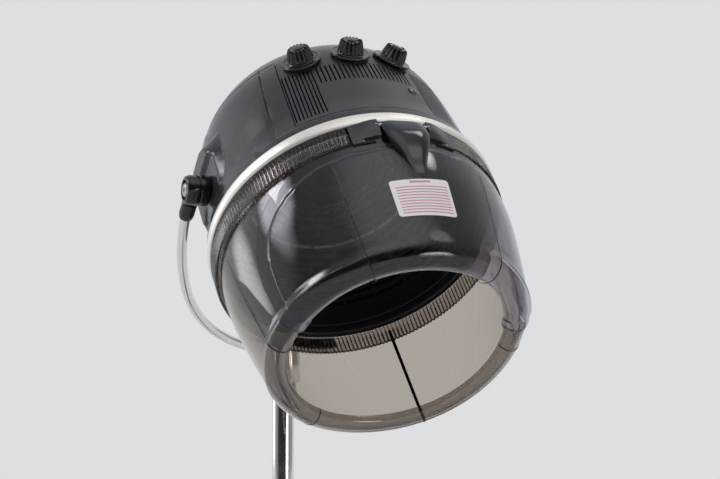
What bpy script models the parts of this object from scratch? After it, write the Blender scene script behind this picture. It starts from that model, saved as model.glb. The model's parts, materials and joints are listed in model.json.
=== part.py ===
"""Free-standing salon hood dryer: tilting hood on a chrome yoke, telescopic column, five-star castor base.

Metres, +Z up, front of the hood towards -Y, floor at Z = 0. The hood is stored tilted back.
"""

from math import cos, pi, radians, sin, sqrt

import bpy
import numpy as np
from mathutils import Matrix, Vector

for old in list(bpy.data.objects):
    bpy.data.objects.remove(old, do_unlink=True)

# ---- driving sizes -------------------------------------------------------------------------
MM = 0.001
GAP = 0.0003
HOOD_R = 0.170  # outer radius of the ribbed collar
SEGMENTS = 48  # facets round the hood

TILT = radians(43.5)  # hood axis from the vertical, opening turned forward
YOKE_LEAN = radians(47.0)  # yoke plane from the vertical, leaning back
PIVOT_HEIGHT = 1.220
PIVOT_ABOVE_COLLAR = 0.097
YOKE_DEPTH = 0.266
YOKE_HALF_WIDTH = 0.1795
YOKE_ROD_R = 0.0060

POLE_Y = 0.11595  # puts the middle of the bounding box over the origin
INNER_TUBE_R = 0.0140
OUTER_TUBE_R = 0.0190
OUTER_TUBE_TOP = 0.640

WALL = 0.0026
COLLAR_HEIGHT = 0.0262
RING_BOTTOM = 0.0265
RING_TOP = 0.0424
VISOR_PROUD = 0.0032
VISOR_HALF_ANGLE = 75.5

HINGE_Y = 0.170
HINGE_Z = 0.0190
HINGE_PIN_R = 0.0020

KNOB_ANGLES = {"timer": 26.4, "temperature": 4.9, "speed": -15.1}
KNOB_Z = 0.168
KNOB_TURN = radians(74.0)  # knob axis from the hood axis
LENS_ANGLE = -16.5
LENS_Z = 0.105
GLAND_Z = 0.105
BOSS_FACE = 0.1625
BOSS_CREST = 0.1675

LEG_COUNT = 5
CASTOR_R = 0.025
CASTOR_TRAIL = 0.017
CASTOR_TURNS = (200.0, 75.0, 310.0, 20.0, 145.0)

PIVOT_Y = POLE_Y - YOKE_DEPTH * sin(YOKE_LEAN)
HUB_Z = PIVOT_HEIGHT - YOKE_DEPTH * cos(YOKE_LEAN)

HEAD = Matrix.Translation((0, PIVOT_Y, PIVOT_HEIGHT)) @ Matrix.Rotation(-TILT, 4, "X")
COLLAR = HEAD @ Matrix.Translation((0, 0, -PIVOT_ABOVE_COLLAR))
YOKE = Matrix.Translation((0, PIVOT_Y, PIVOT_HEIGHT)) @ Matrix.Rotation(YOKE_LEAN, 4, "X")
POLE = Matrix.Translation((0, POLE_Y, 0))
HUB = Matrix.Translation((0, POLE_Y, HUB_Z))


# ---- helpers -------------------------------------------------------------------------------
def material(name, colour, metallic=0.0, roughness=0.4, alpha=1.0):
    mat = bpy.data.materials.new(name)
    mat.use_nodes = True
    shader = mat.node_tree.nodes["Principled BSDF"]
    shader.inputs["Base Color"].default_value = (*colour, 1.0)
    shader.inputs["Metallic"].default_value = metallic
    shader.inputs["Roughness"].default_value = roughness
    shader.inputs["Alpha"].default_value = alpha
    mat.diffuse_color = (*colour, alpha)
    return mat


LOOKS = {
    "housing": ((0.060, 0.058, 0.062), 0.0, 0.18, 1.0),
    "smoked": ((0.120, 0.112, 0.108), 0.0, 0.08, 0.75),
    "black": ((0.012, 0.012, 0.013), 0.0, 0.30, 1.0),
    "matte_black": ((0.018, 0.018, 0.018), 0.0, 0.70, 1.0),
    "silver": ((0.560, 0.540, 0.500), 1.0, 0.28, 1.0),
    "chrome": ((0.780, 0.780, 0.780), 1.0, 0.08, 1.0),
    "steel": ((0.450, 0.450, 0.460), 1.0, 0.35, 1.0),
    "mica": ((0.500, 0.420, 0.300), 0.0, 0.60, 1.0),
    "white": ((0.850, 0.840, 0.820), 0.0, 0.50, 1.0),
    "red": ((0.600, 0.040, 0.020), 0.0, 0.20, 1.0),
    "rubber": ((0.020, 0.020, 0.020), 0.0, 0.80, 1.0),
}


def add(name, verts, faces, look, frame, smooth=True):
    mesh = bpy.data.meshes.new(name)
    mesh.from_pydata([tuple(v) for v in verts], [], [tuple(f) for f in faces])
    mesh.validate()
    mesh.update()
    if smooth:
        mesh.shade_smooth()
        mesh.set_sharp_from_angle(angle=radians(35))
    obj = bpy.data.objects.new(name, mesh)
    bpy.context.scene.collection.objects.link(obj)
    obj.matrix_world = frame
    mesh.materials.append(material(name, *LOOKS[look]))
    return obj


def revolved(profile, segments=24, flutes=None, closed=False):
    """Body of revolution about Z from (r, z) points, given so that the body lies on their left.

    flutes(angle_index, r, z) may change a radius, as on a gripped knob.
    """
    verts, rings = [], []
    for r, z in profile:
        if r < 1e-9:
            rings.append([len(verts)])
            verts.append((0.0, 0.0, z))
            continue
        ring = []
        for i in range(segments):
            a = 2 * pi * i / segments
            rr = flutes(i, r, z) if flutes else r
            ring.append(len(verts))
            verts.append((rr * cos(a), rr * sin(a), z))
        rings.append(ring)
    pairs = list(zip(rings, rings[1:]))
    if closed:
        pairs.append((rings[-1], rings[0]))
    faces = []
    for low, high in pairs:
        for i in range(segments):
            j = (i + 1) % segments
            if len(low) == 1:
                faces.append((low[0], high[j], high[i]))
            elif len(high) == 1:
                faces.append((low[i], low[j], high[0]))
            else:
                faces.append((low[i], low[j], high[j], high[i]))
    return verts, faces


def sheet_body(outer, inner, keep, wrap=False, pole=False):
    """Closed body between two grids of points [column][row], with only the kept cells.

    Columns run clockwise seen from above and rows downwards. With pole, the top row is one point.
    """
    columns, rows = len(outer), len(outer[0])
    cells = columns if wrap else columns - 1
    verts, index = [], {}

    def vertex(side, i, j):
        i = 0 if pole and j == 0 else i % columns
        if (side, i, j) not in index:
            index[side, i, j] = len(verts)
            verts.append((outer, inner)[side][i][j])
        return index[side, i, j]

    def kept(i, j):
        if wrap:
            i %= cells
        if pole and j < 0:
            return True
        return 0 <= i < cells and 0 <= j < rows - 1 and keep(i, j)

    faces = []
    for i in range(cells):
        for j in range(rows - 1):
            if not kept(i, j):
                continue
            a, b, c, d = (i, j), (i, j + 1), (i + 1, j + 1), (i + 1, j)
            faces.append([vertex(0, *p) for p in (a, d, c, b)])
            faces.append([vertex(1, *p) for p in (b, c, d, a)])
            for p, q, neighbour in (
                (a, d, (i, j - 1)),
                (d, c, (i + 1, j)),
                (c, b, (i, j + 1)),
                (b, a, (i - 1, j)),
            ):
                if not kept(*neighbour):
                    faces.append([vertex(0, *q), vertex(0, *p), vertex(1, *p), vertex(1, *q)])
    return verts, [list(dict.fromkeys(face)) for face in faces]


def around(angle, r, z):
    """Point on the hood: angle in degrees from the front, positive towards -X."""
    a = radians(angle)
    return (-r * sin(a), -r * cos(a), z)


def box(x0, x1, y0, y1, z0, z1):
    verts = [(x, y, z) for z in (z0, z1) for y in (y0, y1) for x in (x0, x1)]
    faces = [(0, 2, 3, 1), (4, 5, 7, 6), (0, 1, 5, 4), (2, 6, 7, 3), (0, 4, 6, 2), (1, 3, 7, 5)]
    return verts, faces


def merged(*meshes):
    verts, faces = [], []
    for more_verts, more_faces in meshes:
        start = len(verts)
        verts += [tuple(v) for v in more_verts]
        faces += [tuple(start + i for i in face) for face in more_faces]
    return verts, faces


def placed(mesh, matrix):
    verts, faces = mesh
    return [tuple(matrix @ Vector(v)) for v in verts], faces


def rod(r, z0, z1, segments=16):
    return revolved([(0, z0), (r, z0), (r, z1), (0, z1)], segments)


def tube(r_in, r_out, z0, z1, segments=24):
    return revolved([(r_in, z0), (r_out, z0), (r_out, z1), (r_in, z1)], segments, closed=True)


def along_x(x):
    """Frame whose Z runs along +X, starting at x."""
    return Matrix.Translation((x, 0, 0)) @ Matrix.Rotation(pi / 2, 4, "Y")


def combined(obj, mesh, operation):
    """The object after a Boolean with a helper mesh given in the object's own frame."""
    verts, faces = mesh
    data = bpy.data.meshes.new(obj.name + "_tool")
    data.from_pydata([tuple(v) for v in verts], [], faces)
    tool = bpy.data.objects.new(obj.name + "_tool", data)
    bpy.context.scene.collection.objects.link(tool)
    tool.matrix_world = obj.matrix_world
    step = obj.modifiers.new(operation.lower(), "BOOLEAN")
    step.operation = operation
    step.solver = "EXACT"
    step.object = tool
    bpy.context.view_layer.update()
    graph = bpy.context.evaluated_depsgraph_get()
    result = bpy.data.meshes.new_from_object(obj.evaluated_get(graph))
    obj.modifiers.clear()
    obj.data = result
    bpy.data.objects.remove(tool, do_unlink=True)
    return obj


def axis_empty(name, frame):
    empty = bpy.data.objects.new(name, None)
    bpy.context.scene.collection.objects.link(empty)
    empty.matrix_world = frame
    empty.empty_display_size = 0.03
    return empty


# ---- hood shells ---------------------------------------------------------------------------
BOWL_WALL = ((19, 164.0), (0, 165.0), (-17, 164.6), (-51, 161.6), (-85, 156.2), (-119, 149.8), (-133, 146.6))
ROLL_OUT = ((142.5, -143.0), (137.0, -149.5), (130.5, -152.5), (124.0, -151.0), (119.0, -146.5), (117.6, -141.0))
ROLL_IN = ((140.0, -141.6), (135.2, -147.3), (130.2, -149.8), (125.4, -148.6), (121.4, -145.0), (120.2, -141.0))
RIM_SPREAD = 4.0  # how much wider the rim is at the sides than at the front and back


def bowl_r(z):
    """Outer radius of the clear bowl at this height above the collar's lower edge."""
    heights, radii = zip(*sorted(BOWL_WALL))
    return float(np.interp(z / MM, heights, radii)) * MM


def outward(points, distance):
    """A path of (r, z) points moved to its outer side, which is on the right going down the wall."""
    moved = []
    for i, (r, z) in enumerate(points):
        r0, z0 = points[max(i - 1, 0)]
        r1, z1 = points[min(i + 1, len(points) - 1)]
        length = sqrt((r1 - r0) ** 2 + (z1 - z0) ** 2)
        moved.append((r - (z1 - z0) / length * distance, z + (r1 - r0) / length * distance))
    return moved


def bowl_columns(angles, top_of, bottom_of, steps, proud):
    """Outer and inner point grids of a piece of the bowl wall with the rolled rim below it."""
    roll_out = outward([(146.6 * MM, -133 * MM)] + [(r * MM, z * MM) for r, z in ROLL_OUT], proud)[1:]
    roll_in = outward([(144.0 * MM, -133 * MM)] + [(r * MM, z * MM) for r, z in ROLL_IN], proud)[1:]
    outer, inner = [], []
    for angle in angles:
        top, bottom = top_of(angle), bottom_of(angle)
        heights = [top + (bottom - top) * t for t in steps]
        walls = [(bowl_r(z) + proud, z) for z in heights]
        wider = RIM_SPREAD * MM * (1 - abs(cos(radians(angle))) ** 5)
        out_rim = [(r + wider * min(1, 0.4 + k), z) for k, (r, z) in enumerate(roll_out)]
        in_rim = [(r + wider * min(1, 0.4 + k), z) for k, (r, z) in enumerate(roll_in)]
        outer.append([around(angle, r, z) for r, z in walls + out_rim])
        inner.append([around(angle, r, z) for r, z in [(r - WALL, z) for r, z in walls] + in_rim])
    return outer, inner


STEPS = (0, 0.13, 0.3, 0.5, 0.7, 0.86, 1)


def visor_top(angle):
    corners = ((0, -3.4), (45, -3.4), (52, -7), (59, -15), (65, -27), (70, -45), (73, -62), (75.5, -90))
    return float(np.interp(abs(angle), *zip(*corners))) * MM


def window_edge(angle):
    """Lower edge of the rear bowl's band over the visor opening."""
    corners = ((0, -13), (40, -13), (47, -17), (54, -26), (60, -38), (65, -55), (68, -78), (70.3, -133))
    turn = 180 - abs(180 - angle % 360)
    return float(np.interp(turn, *zip(*corners))) * MM


side = (21.3, 30, 40, 47, 54, 60, 65, 68, 70.3, 76.3)
back = tuple(np.linspace(86, 274, 20))
ring = side + back + tuple(360 - a for a in reversed(side))
outer, inner = bowl_columns(ring, lambda a: 0.019, window_edge, STEPS, 0.0)
first, last = side.index(76.3), len(ring) - 1 - side.index(76.3)
add(
    "rear_bowl",
    *sheet_body(outer, inner, lambda i, j: j < len(STEPS) - 1 or first <= i < last),
    "smoked",
    COLLAR,
)

half = (0, 10.5, 21.3, 30, 40, 47, 54, 60, 65, 68, 70.3, 73.4, VISOR_HALF_ANGLE)
front = tuple(-a for a in reversed(half[1:])) + half
outer, inner = bowl_columns(front, visor_top, lambda a: -0.133, STEPS, VISOR_PROUD)
visor = add("visor", *sheet_body(outer, inner, lambda i, j: True), "smoked", COLLAR)

turns = np.linspace(-11.4, 12.6, 7)
drops = [z * MM for z in (-57, -69, -81, -93, -105)]
skin = [[around(a, bowl_r(z) + VISOR_PROUD + 0.0008, z) for z in drops] for a in turns]
base = [[around(a, bowl_r(z) + VISOR_PROUD + 0.0004, z) for z in drops] for a in turns]
label = add("visor_label", *sheet_body(skin, base, lambda i, j: True), "white", COLLAR)

# ---- collar, trim ring, hinge --------------------------------------------------------------
ring = [21.0 + (360 - 42.0) * i / 42 for i in range(43)]
levels = (COLLAR_HEIGHT, 0.0)
outer = [[around(a, HOOD_R, z) for z in levels] for a in ring]
inner = [[around(a, HOOD_R - 0.003, z) for z in levels] for a in ring]
add("ribbed_collar", *sheet_body(outer, inner, lambda i, j: True), "smoked", COLLAR)

clip_rows = ((26.2, 174.4), (24.8, 175.4), (12.0, 175.4), (10.5, 173.8))
clip_turns = (167.5, 168.3, 172.6, 177.0, 181.4, 185.7, 186.5)
outer = [
    [around(a, (r - (1.0 if i in (0, 6) else 0.0)) * MM, z * MM) for z, r in clip_rows]
    for i, a in enumerate(clip_turns)
]
inner = [[around(a, 0.17025, z * MM) for z, _ in clip_rows] for a in clip_turns]
add("rear_clip", *sheet_body(outer, inner, lambda i, j: True), "matte_black", COLLAR)

ring_profile = (
    (160.5, 34.0), (167.2, 34.0), (167.2, 26.5), (170.6, 26.5), (171.5, 29.0),
    (171.5, 38.5), (170.8, 42.4), (160.5, 42.4),
)
add(
    "trim_ring",
    *revolved([(r * MM, z * MM) for r, z in ring_profile], SEGMENTS, closed=True),
    "silver",
    COLLAR,
)

bracket_angles = (-20.5, -17, -14, -11.5, -9.55, -9.33, -4.7, 0, 4.7, 9.33, 9.55, 11.5, 14, 17, 20.5)
bracket_radii = (170, 170.6, 172.4, 174.2, 174.6, 164, 164, 164, 164, 164, 174.6, 174.2, 172.4, 170.6, 170)
bracket_levels = ((26.2, 0.7), (24.0, 1.0), (13.5, 1.0), (7.0, 0.35), (-1.5, 0.0))


def ear(r, share):
    """Bracket radius: an ear fades into the collar's surface lower down, and the pocket doesn't."""
    return (170 + (r - 170) * share if r > 170 else r) * MM


outer = [
    [around(a, ear(r, share), z * MM) for z, share in bracket_levels]
    for a, r in zip(bracket_angles, bracket_radii)
]
inner = [[around(a, 0.1605, z * MM) for z, _ in bracket_levels] for a in bracket_angles]
bracket = add("hinge_bracket", *sheet_body(outer, inner, lambda i, j: True), "housing", COLLAR)
pin_at = Matrix.Translation((0, -HINGE_Y, HINGE_Z)) @ Matrix.Rotation(pi / 2, 4, "Y")
combined(bracket, placed(rod(HINGE_PIN_R + GAP, -0.0325, 0.0325, 12), pin_at), "DIFFERENCE")
add("visor_hinge_pin", *rod(HINGE_PIN_R, -0.032, 0.032, 12), "steel", COLLAR @ pin_at)

# (outer height, outer radius, inner height, half-width) down the arm; the last rows lie on the visor
arm_rows = (
    (24.3, 171.4, 24.3, 25.0), (22.2, 174.6, 22.2, 26.0), (18.0, 175.5, 18.0, 26.2), (10.0, 177.2, 12.0, 26.2),
    (2.0, 178.0, 6.0, 25.2), (-8.0, 177.0, -2.5, 22.4), (-19.0, 174.6, -15.0, 18.8), (-33.0, 170.6, -31.0, 13.8),
    (-45.0, 167.2, -44.0, 10.4), (-53.0, 164.8, -52.6, 9.0),
)
arm_inside = (168.6, 165.5, 164.6, 164.6, 165.4)
across = (-1, -0.86, -0.4, 0, 0.4, 0.86, 1)
outer, inner = [], []
for u in reversed(across):
    outer.append([])
    inner.append([])
    for j, (z_out, r_out, z_in, width) in enumerate(arm_rows):
        x = u * width * MM
        crown = 2.4 * abs(u) ** 3 * (1.0 if j else 0.4)
        outer[-1].append((x, -(r_out - crown) * MM, z_out * MM))
        if j < len(arm_inside):
            inner[-1].append((x, -arm_inside[j] * MM, z_in * MM))
        else:
            lies = bowl_r(z_in * MM) + VISOR_PROUD + GAP
            inner[-1].append((x, -sqrt(lies**2 - x**2), z_in * MM))
arm = add("visor_arm", *sheet_body(outer, inner, lambda i, j: True), "black", COLLAR)
combined(arm, placed(rod(HINGE_PIN_R + GAP, -0.03, 0.03, 12), pin_at), "DIFFERENCE")

# ---- upper housing -------------------------------------------------------------------------
SHELL = (
    (43.0, 168.2), (58.5, 166.6), (60.5, 164.8), (80, 161.4), (97, 160.4), (117, 158.9), (136, 157.3),
    (153, 155.4), (170, 152.2), (187, 147.8), (204, 140.4), (221, 127.6), (236, 109.2), (248, 76.0),
    (254.5, 0.0),
)
SHELL_WALL = 2.8


def shell_r(z):
    return float(np.interp(z / MM, *zip(*SHELL))) * MM


def panel_point(angle, z):
    return Vector(around(angle, shell_r(z), z))


def with_pivot_boss(angle, r, z):
    """Outer housing point, pushed out to a flat-faced boss on each side of the hood."""
    x, y, _ = around(angle, r, z)
    reach = max(0.0, 1 - (y / 0.046) ** 2) * max(0.0, 1 - ((z - 0.112) / 0.040) ** 2)
    if reach:
        limit = BOSS_FACE if z < 0.120 else BOSS_CREST
        x = np.sign(x) * min(limit, abs(x) + 0.030 * reach)
    return (float(x), y, z)


path = [(r * MM, z * MM) for z, r in reversed(SHELL)]
inside = outward(path, -SHELL_WALL * MM)
inside[0] = (0.0, inside[0][1])
columns = [7.5 * i for i in range(SEGMENTS)]
outer = [[with_pivot_boss(a, r, z) for r, z in path] for a in columns]
inner = [[around(a, r, z) for r, z in inside] for a in columns]
heights = [z for z, _ in reversed(SHELL)]
high_row, low_row = heights.index(187), heights.index(60.5)


def in_window(i, j):
    return (i < 5 or i >= SEGMENTS - 5) and high_row <= j < low_row


verts, faces = sheet_body(outer, inner, lambda i, j: not in_window(i, j), wrap=True, pole=True)
shell = add("top_shell", verts, faces, "housing", COLLAR)
pivot_axis = Matrix.Translation((0, 0, PIVOT_ABOVE_COLLAR))
gland_frame = Matrix.Translation((0, shell_r(GLAND_Z), GLAND_Z)) @ Matrix.Rotation(-pi / 2, 4, "X")
cutters = merged(
    placed(rod(0.0044, 0.145, 0.180), pivot_axis @ along_x(0)),
    placed(rod(0.0044, -0.180, -0.145), pivot_axis @ along_x(0)),
    placed(rod(0.0084, -0.012, 0.012), gland_frame),
)
combined(shell, cutters, "DIFFERENCE")
gland = ((3.5, -14), (8, -14), (8, 1.4), (12, 1.4), (12, 4), (9, 6), (6, 23), (3.5, 23))
add(
    "cable_gland",
    *revolved([(r * MM, z * MM) for r, z in gland], 16, closed=True),
    "matte_black",
    COLLAR @ gland_frame,
)

PANEL_ANGLE = 37.2
STRIPS = 48
panel_rows = [z * MM for z in (185.4, 166, 150, 138, 100, 64, 60.9)]
turns = [-PANEL_ANGLE + 2 * PANEL_ANGLE * i / STRIPS for i in range(STRIPS + 1)]
outer = [[around(a, shell_r(z), z) for z in panel_rows] for a in turns]
inner = [[around(a, shell_r(z) - SHELL_WALL * MM, z) for z in panel_rows] for a in turns]


def panel_cell(i, j):
    """Long slots at both sides of the panel, short ones under the knobs."""
    if i % 2 == 0:
        return True
    if i < 9 or i > STRIPS - 9:
        return j not in (2, 3, 4)
    return not (11 <= i <= STRIPS - 12 and j == 2)


panel = add("front_panel", *sheet_body(outer, inner, panel_cell), "housing", COLLAR)
knob_frames = {}
for name, angle in KNOB_ANGLES.items():
    turn = Matrix.Rotation(radians(-angle), 4, "Z") @ Matrix.Rotation(KNOB_TURN, 4, "X")
    knob_frames[name] = Matrix.Translation(panel_point(angle, KNOB_Z)) @ turn
lens_turn = Matrix.Rotation(radians(-LENS_ANGLE), 4, "Z") @ Matrix.Rotation(pi / 2, 4, "X")
lens_frame = Matrix.Translation(panel_point(LENS_ANGLE, LENS_Z)) @ lens_turn
combined(
    panel,
    merged(
        *(placed(rod(0.0046, -0.010, 0.010, 12), frame) for frame in knob_frames.values()),
        placed(rod(0.0049, -0.010, 0.010, 12), lens_frame),
    ),
    "DIFFERENCE",
)
lens = ((0, -3.5), (4.5, -3.5), (4.5, 1.0), (3.6, 2.2), (0, 2.6))
add("pilot_lens", *revolved([(r * MM, z * MM) for r, z in lens], 12), "red", COLLAR @ lens_frame)

# ---- controls ------------------------------------------------------------------------------
KNOB = (
    (0, -8.0), (4, -8.0), (4, 1.2), (23, 1.2), (23, 2.8), (21.5, 4.0), (14.6, 4.8),
    (13.8, 13.5), (12, 17.0), (7, 19.2), (0, 19.8),
)


def knob_grip(i, r, z):
    return r - 0.0014 if i % 2 and 0.0115 < r < 0.0150 else r


for name, frame in knob_frames.items():
    mesh = revolved([(r * MM, z * MM) for r, z in KNOB], 20, flutes=knob_grip)
    add(name + "_knob", *mesh, "black", COLLAR @ frame)
    half, deep = (0.018, 0.034) if name == "timer" else (0.013, 0.027)
    body = box(-half, half, -half, half, -deep, -0.0086)
    part = name + ("_body" if name == "timer" else "_switch")
    add(part, *body, "matte_black", COLLAR @ frame, smooth=False)

# ---- blower and heater ---------------------------------------------------------------------
BOWL = (
    (24, 141), (38, 140.3), (52, 138.8), (66, 136.2), (82, 132.4), (94, 127.8), (106, 122.8),
    (116, 117), (127, 109.3), (135, 101.3), (144, 89.5), (151, 74), (157, 48), (160, 18),
)
BOWL_SEGMENTS = 32
path = [(r * MM, z * MM) for r, z in BOWL]
inside = outward(path, -0.0022)
inside[-1] = (inside[-1][0], 0.018)
columns = [360 * i / BOWL_SEGMENTS for i in range(BOWL_SEGMENTS)]
outer = [[around(a, r, z) for r, z in path] for a in columns]
inner = [[around(a, r, z) for r, z in inside] for a in columns]


def bowl_cell(i, j):
    """Rings of air slots parted by eight ribs."""
    return j not in (1, 3, 5, 7, 9) or i % 4 == 0


add("inner_bowl", *sheet_body(outer, inner, bowl_cell, wrap=True), "matte_black", COLLAR)

housing = (
    (101.8, 127.2), (103.5, 124.4), (110, 121.2), (110, 123.8), (104.4, 127.2), (102, 188.6),
    (14, 188.6), (14, 186.2), (99.6, 186.2),
)
add(
    "fan_housing",
    *revolved([(r * MM, z * MM) for r, z in housing], 32, closed=True),
    "steel",
    COLLAR,
)
motor = ((0, 189), (33, 189), (33, 222), (28, 227), (10, 228), (9, 233), (0, 233))
add("fan_motor", *revolved([(r * MM, z * MM) for r, z in motor], 24), "steel", COLLAR)
wheel = ((0, 160), (14, 160), (14, 176), (90, 176), (90, 178), (3, 178), (3, 188.6), (0, 188.6))
fan = add("fan_impeller", *revolved([(r * MM, z * MM) for r, z in wheel], 24), "matte_black", COLLAR)
vanes = []
for i in range(8):
    vane = box(0.020, 0.086, -0.0012, 0.0012, 0.163, 0.1768)
    vanes.append(placed(vane, Matrix.Rotation(2 * pi * i / 8 + 0.1, 4, "Z")))
combined(fan, merged(*vanes), "UNION")
add("heater_frame", *tube(0.060, 0.1004, 0.1455, 0.1475, 32), "mica", COLLAR)
ring = [(0.078 + 0.0045 * cos(a), 0.1524 + 0.0045 * sin(a)) for a in (pi * k / 3 for k in range(6))]
add("heater_coil", *revolved(ring, 24, closed=True), "steel", COLLAR)
add("thermostat", *rod(0.006, 0.1478, 0.155, 16), "steel", COLLAR @ Matrix.Translation((0.0918, 0, 0)))

# ---- yoke ----------------------------------------------------------------------------------
half_path = (
    (0.0, 266.0), (22.0, 266.0), (45.0, 262.2), (70.0, 252.6), (86.0, 243.2), (105.4, 228.7), (125.0, 207.6),
    (141.0, 183.8), (154.0, 156.6), (166.5, 119.0), (175.5, 76.5), (179.5, 44.0), (179.5, 22.4),
)


def swept(points, r, sides):
    """Round bar along points of the XZ plane."""
    verts = []
    for i, (x, z) in enumerate(points):
        x0, z0 = points[max(i - 1, 0)]
        x1, z1 = points[min(i + 1, len(points) - 1)]
        length = sqrt((x1 - x0) ** 2 + (z1 - z0) ** 2)
        nx, nz = -(z1 - z0) / length, (x1 - x0) / length
        for k in range(sides):
            a = 2 * pi * k / sides
            verts.append((x + r * cos(a) * nx, r * sin(a), z + r * cos(a) * nz))
    faces = [tuple(range(sides)), tuple(reversed(range(len(verts) - sides, len(verts))))]
    for i in range(len(points) - 1):
        for k in range(sides):
            m = (k + 1) % sides
            a, b = i * sides, (i + 1) * sides
            faces.append((a + m, a + k, b + k, b + m))
    return verts, faces


half_path = [(x * MM, -u * MM) for x, u in half_path]
full_path = [(-x, z) for x, z in reversed(half_path[1:])] + half_path
add("yoke_tube", *swept(full_path, YOKE_ROD_R, 10), "chrome", YOKE)

hub = ((0, -10), (14.3, -10), (14.3, -46), (19, -46), (20, -43), (20, 11), (17, 14), (0, 14))
hub_body = add("yoke_hub", *revolved([(r * MM, z * MM) for r, z in hub], 24), "chrome", HUB)
combined(hub_body, placed(rod(YOKE_ROD_R + GAP, -0.03, 0.03, 16), along_x(0)), "DIFFERENCE")

BARREL = ((4.4, 0), (17, 0), (17.5, 1), (17.5, 25.7), (16.2, 27.5), (11.5, 27.5), (11.5, 23.5), (4.4, 23.5))
BOLT = ((0, 0), (4, 0), (4, 36.7), (8, 36.7), (8, 39.2), (6.5, 40.4), (0, 40.4))
SOCKET = ((0, 0), (8.7, 0), (8.7, 20), (7.8, 24), (6.3, 24), (6.3, 4.4), (0, 4.4))
for name, sign in (("left", -1), ("right", 1)):
    out = Matrix.Rotation(sign * pi / 2, 4, "Y")
    side_frame = YOKE @ Matrix.Translation((sign * (BOSS_FACE + 0.0004), 0, 0)) @ out
    mesh = revolved([(r * MM, z * MM) for r, z in BARREL], 24, closed=True)
    add(name + "_pivot_barrel", *mesh, "black", side_frame)
    bolt_frame = YOKE @ Matrix.Translation((sign * 0.150, 0, 0)) @ out
    add(name + "_pivot_bolt", *revolved([(r * MM, z * MM) for r, z in BOLT], 16), "steel", bolt_frame)
    down = Matrix.Translation((sign * YOKE_HALF_WIDTH, 0, -0.0178)) @ Matrix.Rotation(pi, 4, "X")
    mesh = revolved([(r * MM, z * MM) for r, z in SOCKET], 16)
    add(name + "_yoke_socket", *mesh, "black", YOKE @ down)

# ---- column --------------------------------------------------------------------------------
add("inner_column", *tube(0.0125, INNER_TUBE_R, 0.300, HUB_Z - 0.0104, 24), "chrome", POLE)
add("outer_column", *tube(0.0170, OUTER_TUBE_R, 0.0853, OUTER_TUBE_TOP, 24), "chrome", POLE)
add("column_bush", *tube(INNER_TUBE_R + GAP, 0.0167, 0.585, 0.6398, 24), "matte_black", POLE)
grip = (
    (19.3, 600), (26, 600), (27, 604), (27, 662), (24, 668), (14.3, 668), (14.3, 640.4), (19.3, 640.4),
)
mesh = revolved([(r * MM, z * MM) for r, z in grip], 24, closed=True)
height_collar = add("height_collar", *mesh, "black", POLE)
screw = Matrix.Translation((0, 0, 0.655)) @ Matrix.Rotation(-pi / 2, 4, "X")
combined(height_collar, placed(rod(0.0043, 0.010, 0.035, 16), screw), "DIFFERENCE")
CLAMP = ((0, 14.6), (4, 14.6), (4, 28.5), (12, 28.5), (17, 31), (19, 34), (19, 42), (16, 45), (0, 46))


def lobes(i, r, z):
    return r * (0.80 if i % 4 == 0 and r > 0.0125 else 1.0)


mesh = revolved([(r * MM, z * MM) for r, z in CLAMP], 20, flutes=lobes)
add("clamp_knob", *mesh, "black", POLE @ screw)

# ---- base ----------------------------------------------------------------------------------
base = ((0, 72), (40, 72), (46, 78), (46, 122), (40, 128), (24, 150), (19.3, 150), (19.3, 85), (0, 85))
add("base_hub", *revolved([(r * MM, z * MM) for r, z in base], 25), "black", POLE)

LEG = ((46.5, 15, 84, 118), (140, 14, 78, 110), (225, 13, 67, 92), (246, 12.5, 66, 89), (255, 8, 69, 86))


def leg_mesh():
    """Tapered bar of chamfered section along +X."""
    verts = []
    for x, w, low, high in LEG:
        c = 4.0
        section = (
            (-w + c, low), (w - c, low), (w, low + c), (w, high - c),
            (w - c, high), (-w + c, high), (-w, high - c), (-w, low + c),
        )
        verts += [(x * MM, y * MM, z * MM) for y, z in section]
    faces = [tuple(reversed(range(8))), tuple(range(len(verts) - 8, len(verts)))]
    for i in range(len(LEG) - 1):
        for k in range(8):
            m = (k + 1) % 8
            a, b = i * 8, (i + 1) * 8
            faces.append((a + k, a + m, b + m, b + k))
    return verts, faces


def prism_x(outline, x0, x1):
    """Prism along X over a (y, z) outline given anticlockwise seen from +X."""
    n = len(outline)
    verts = [(x, y, z) for x in (x0, x1) for y, z in outline]
    faces = [tuple(reversed(range(n))), tuple(range(n, 2 * n))]
    faces += [(k, (k + 1) % n, n + (k + 1) % n, n + k) for k in range(n)]
    return verts, faces


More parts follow.
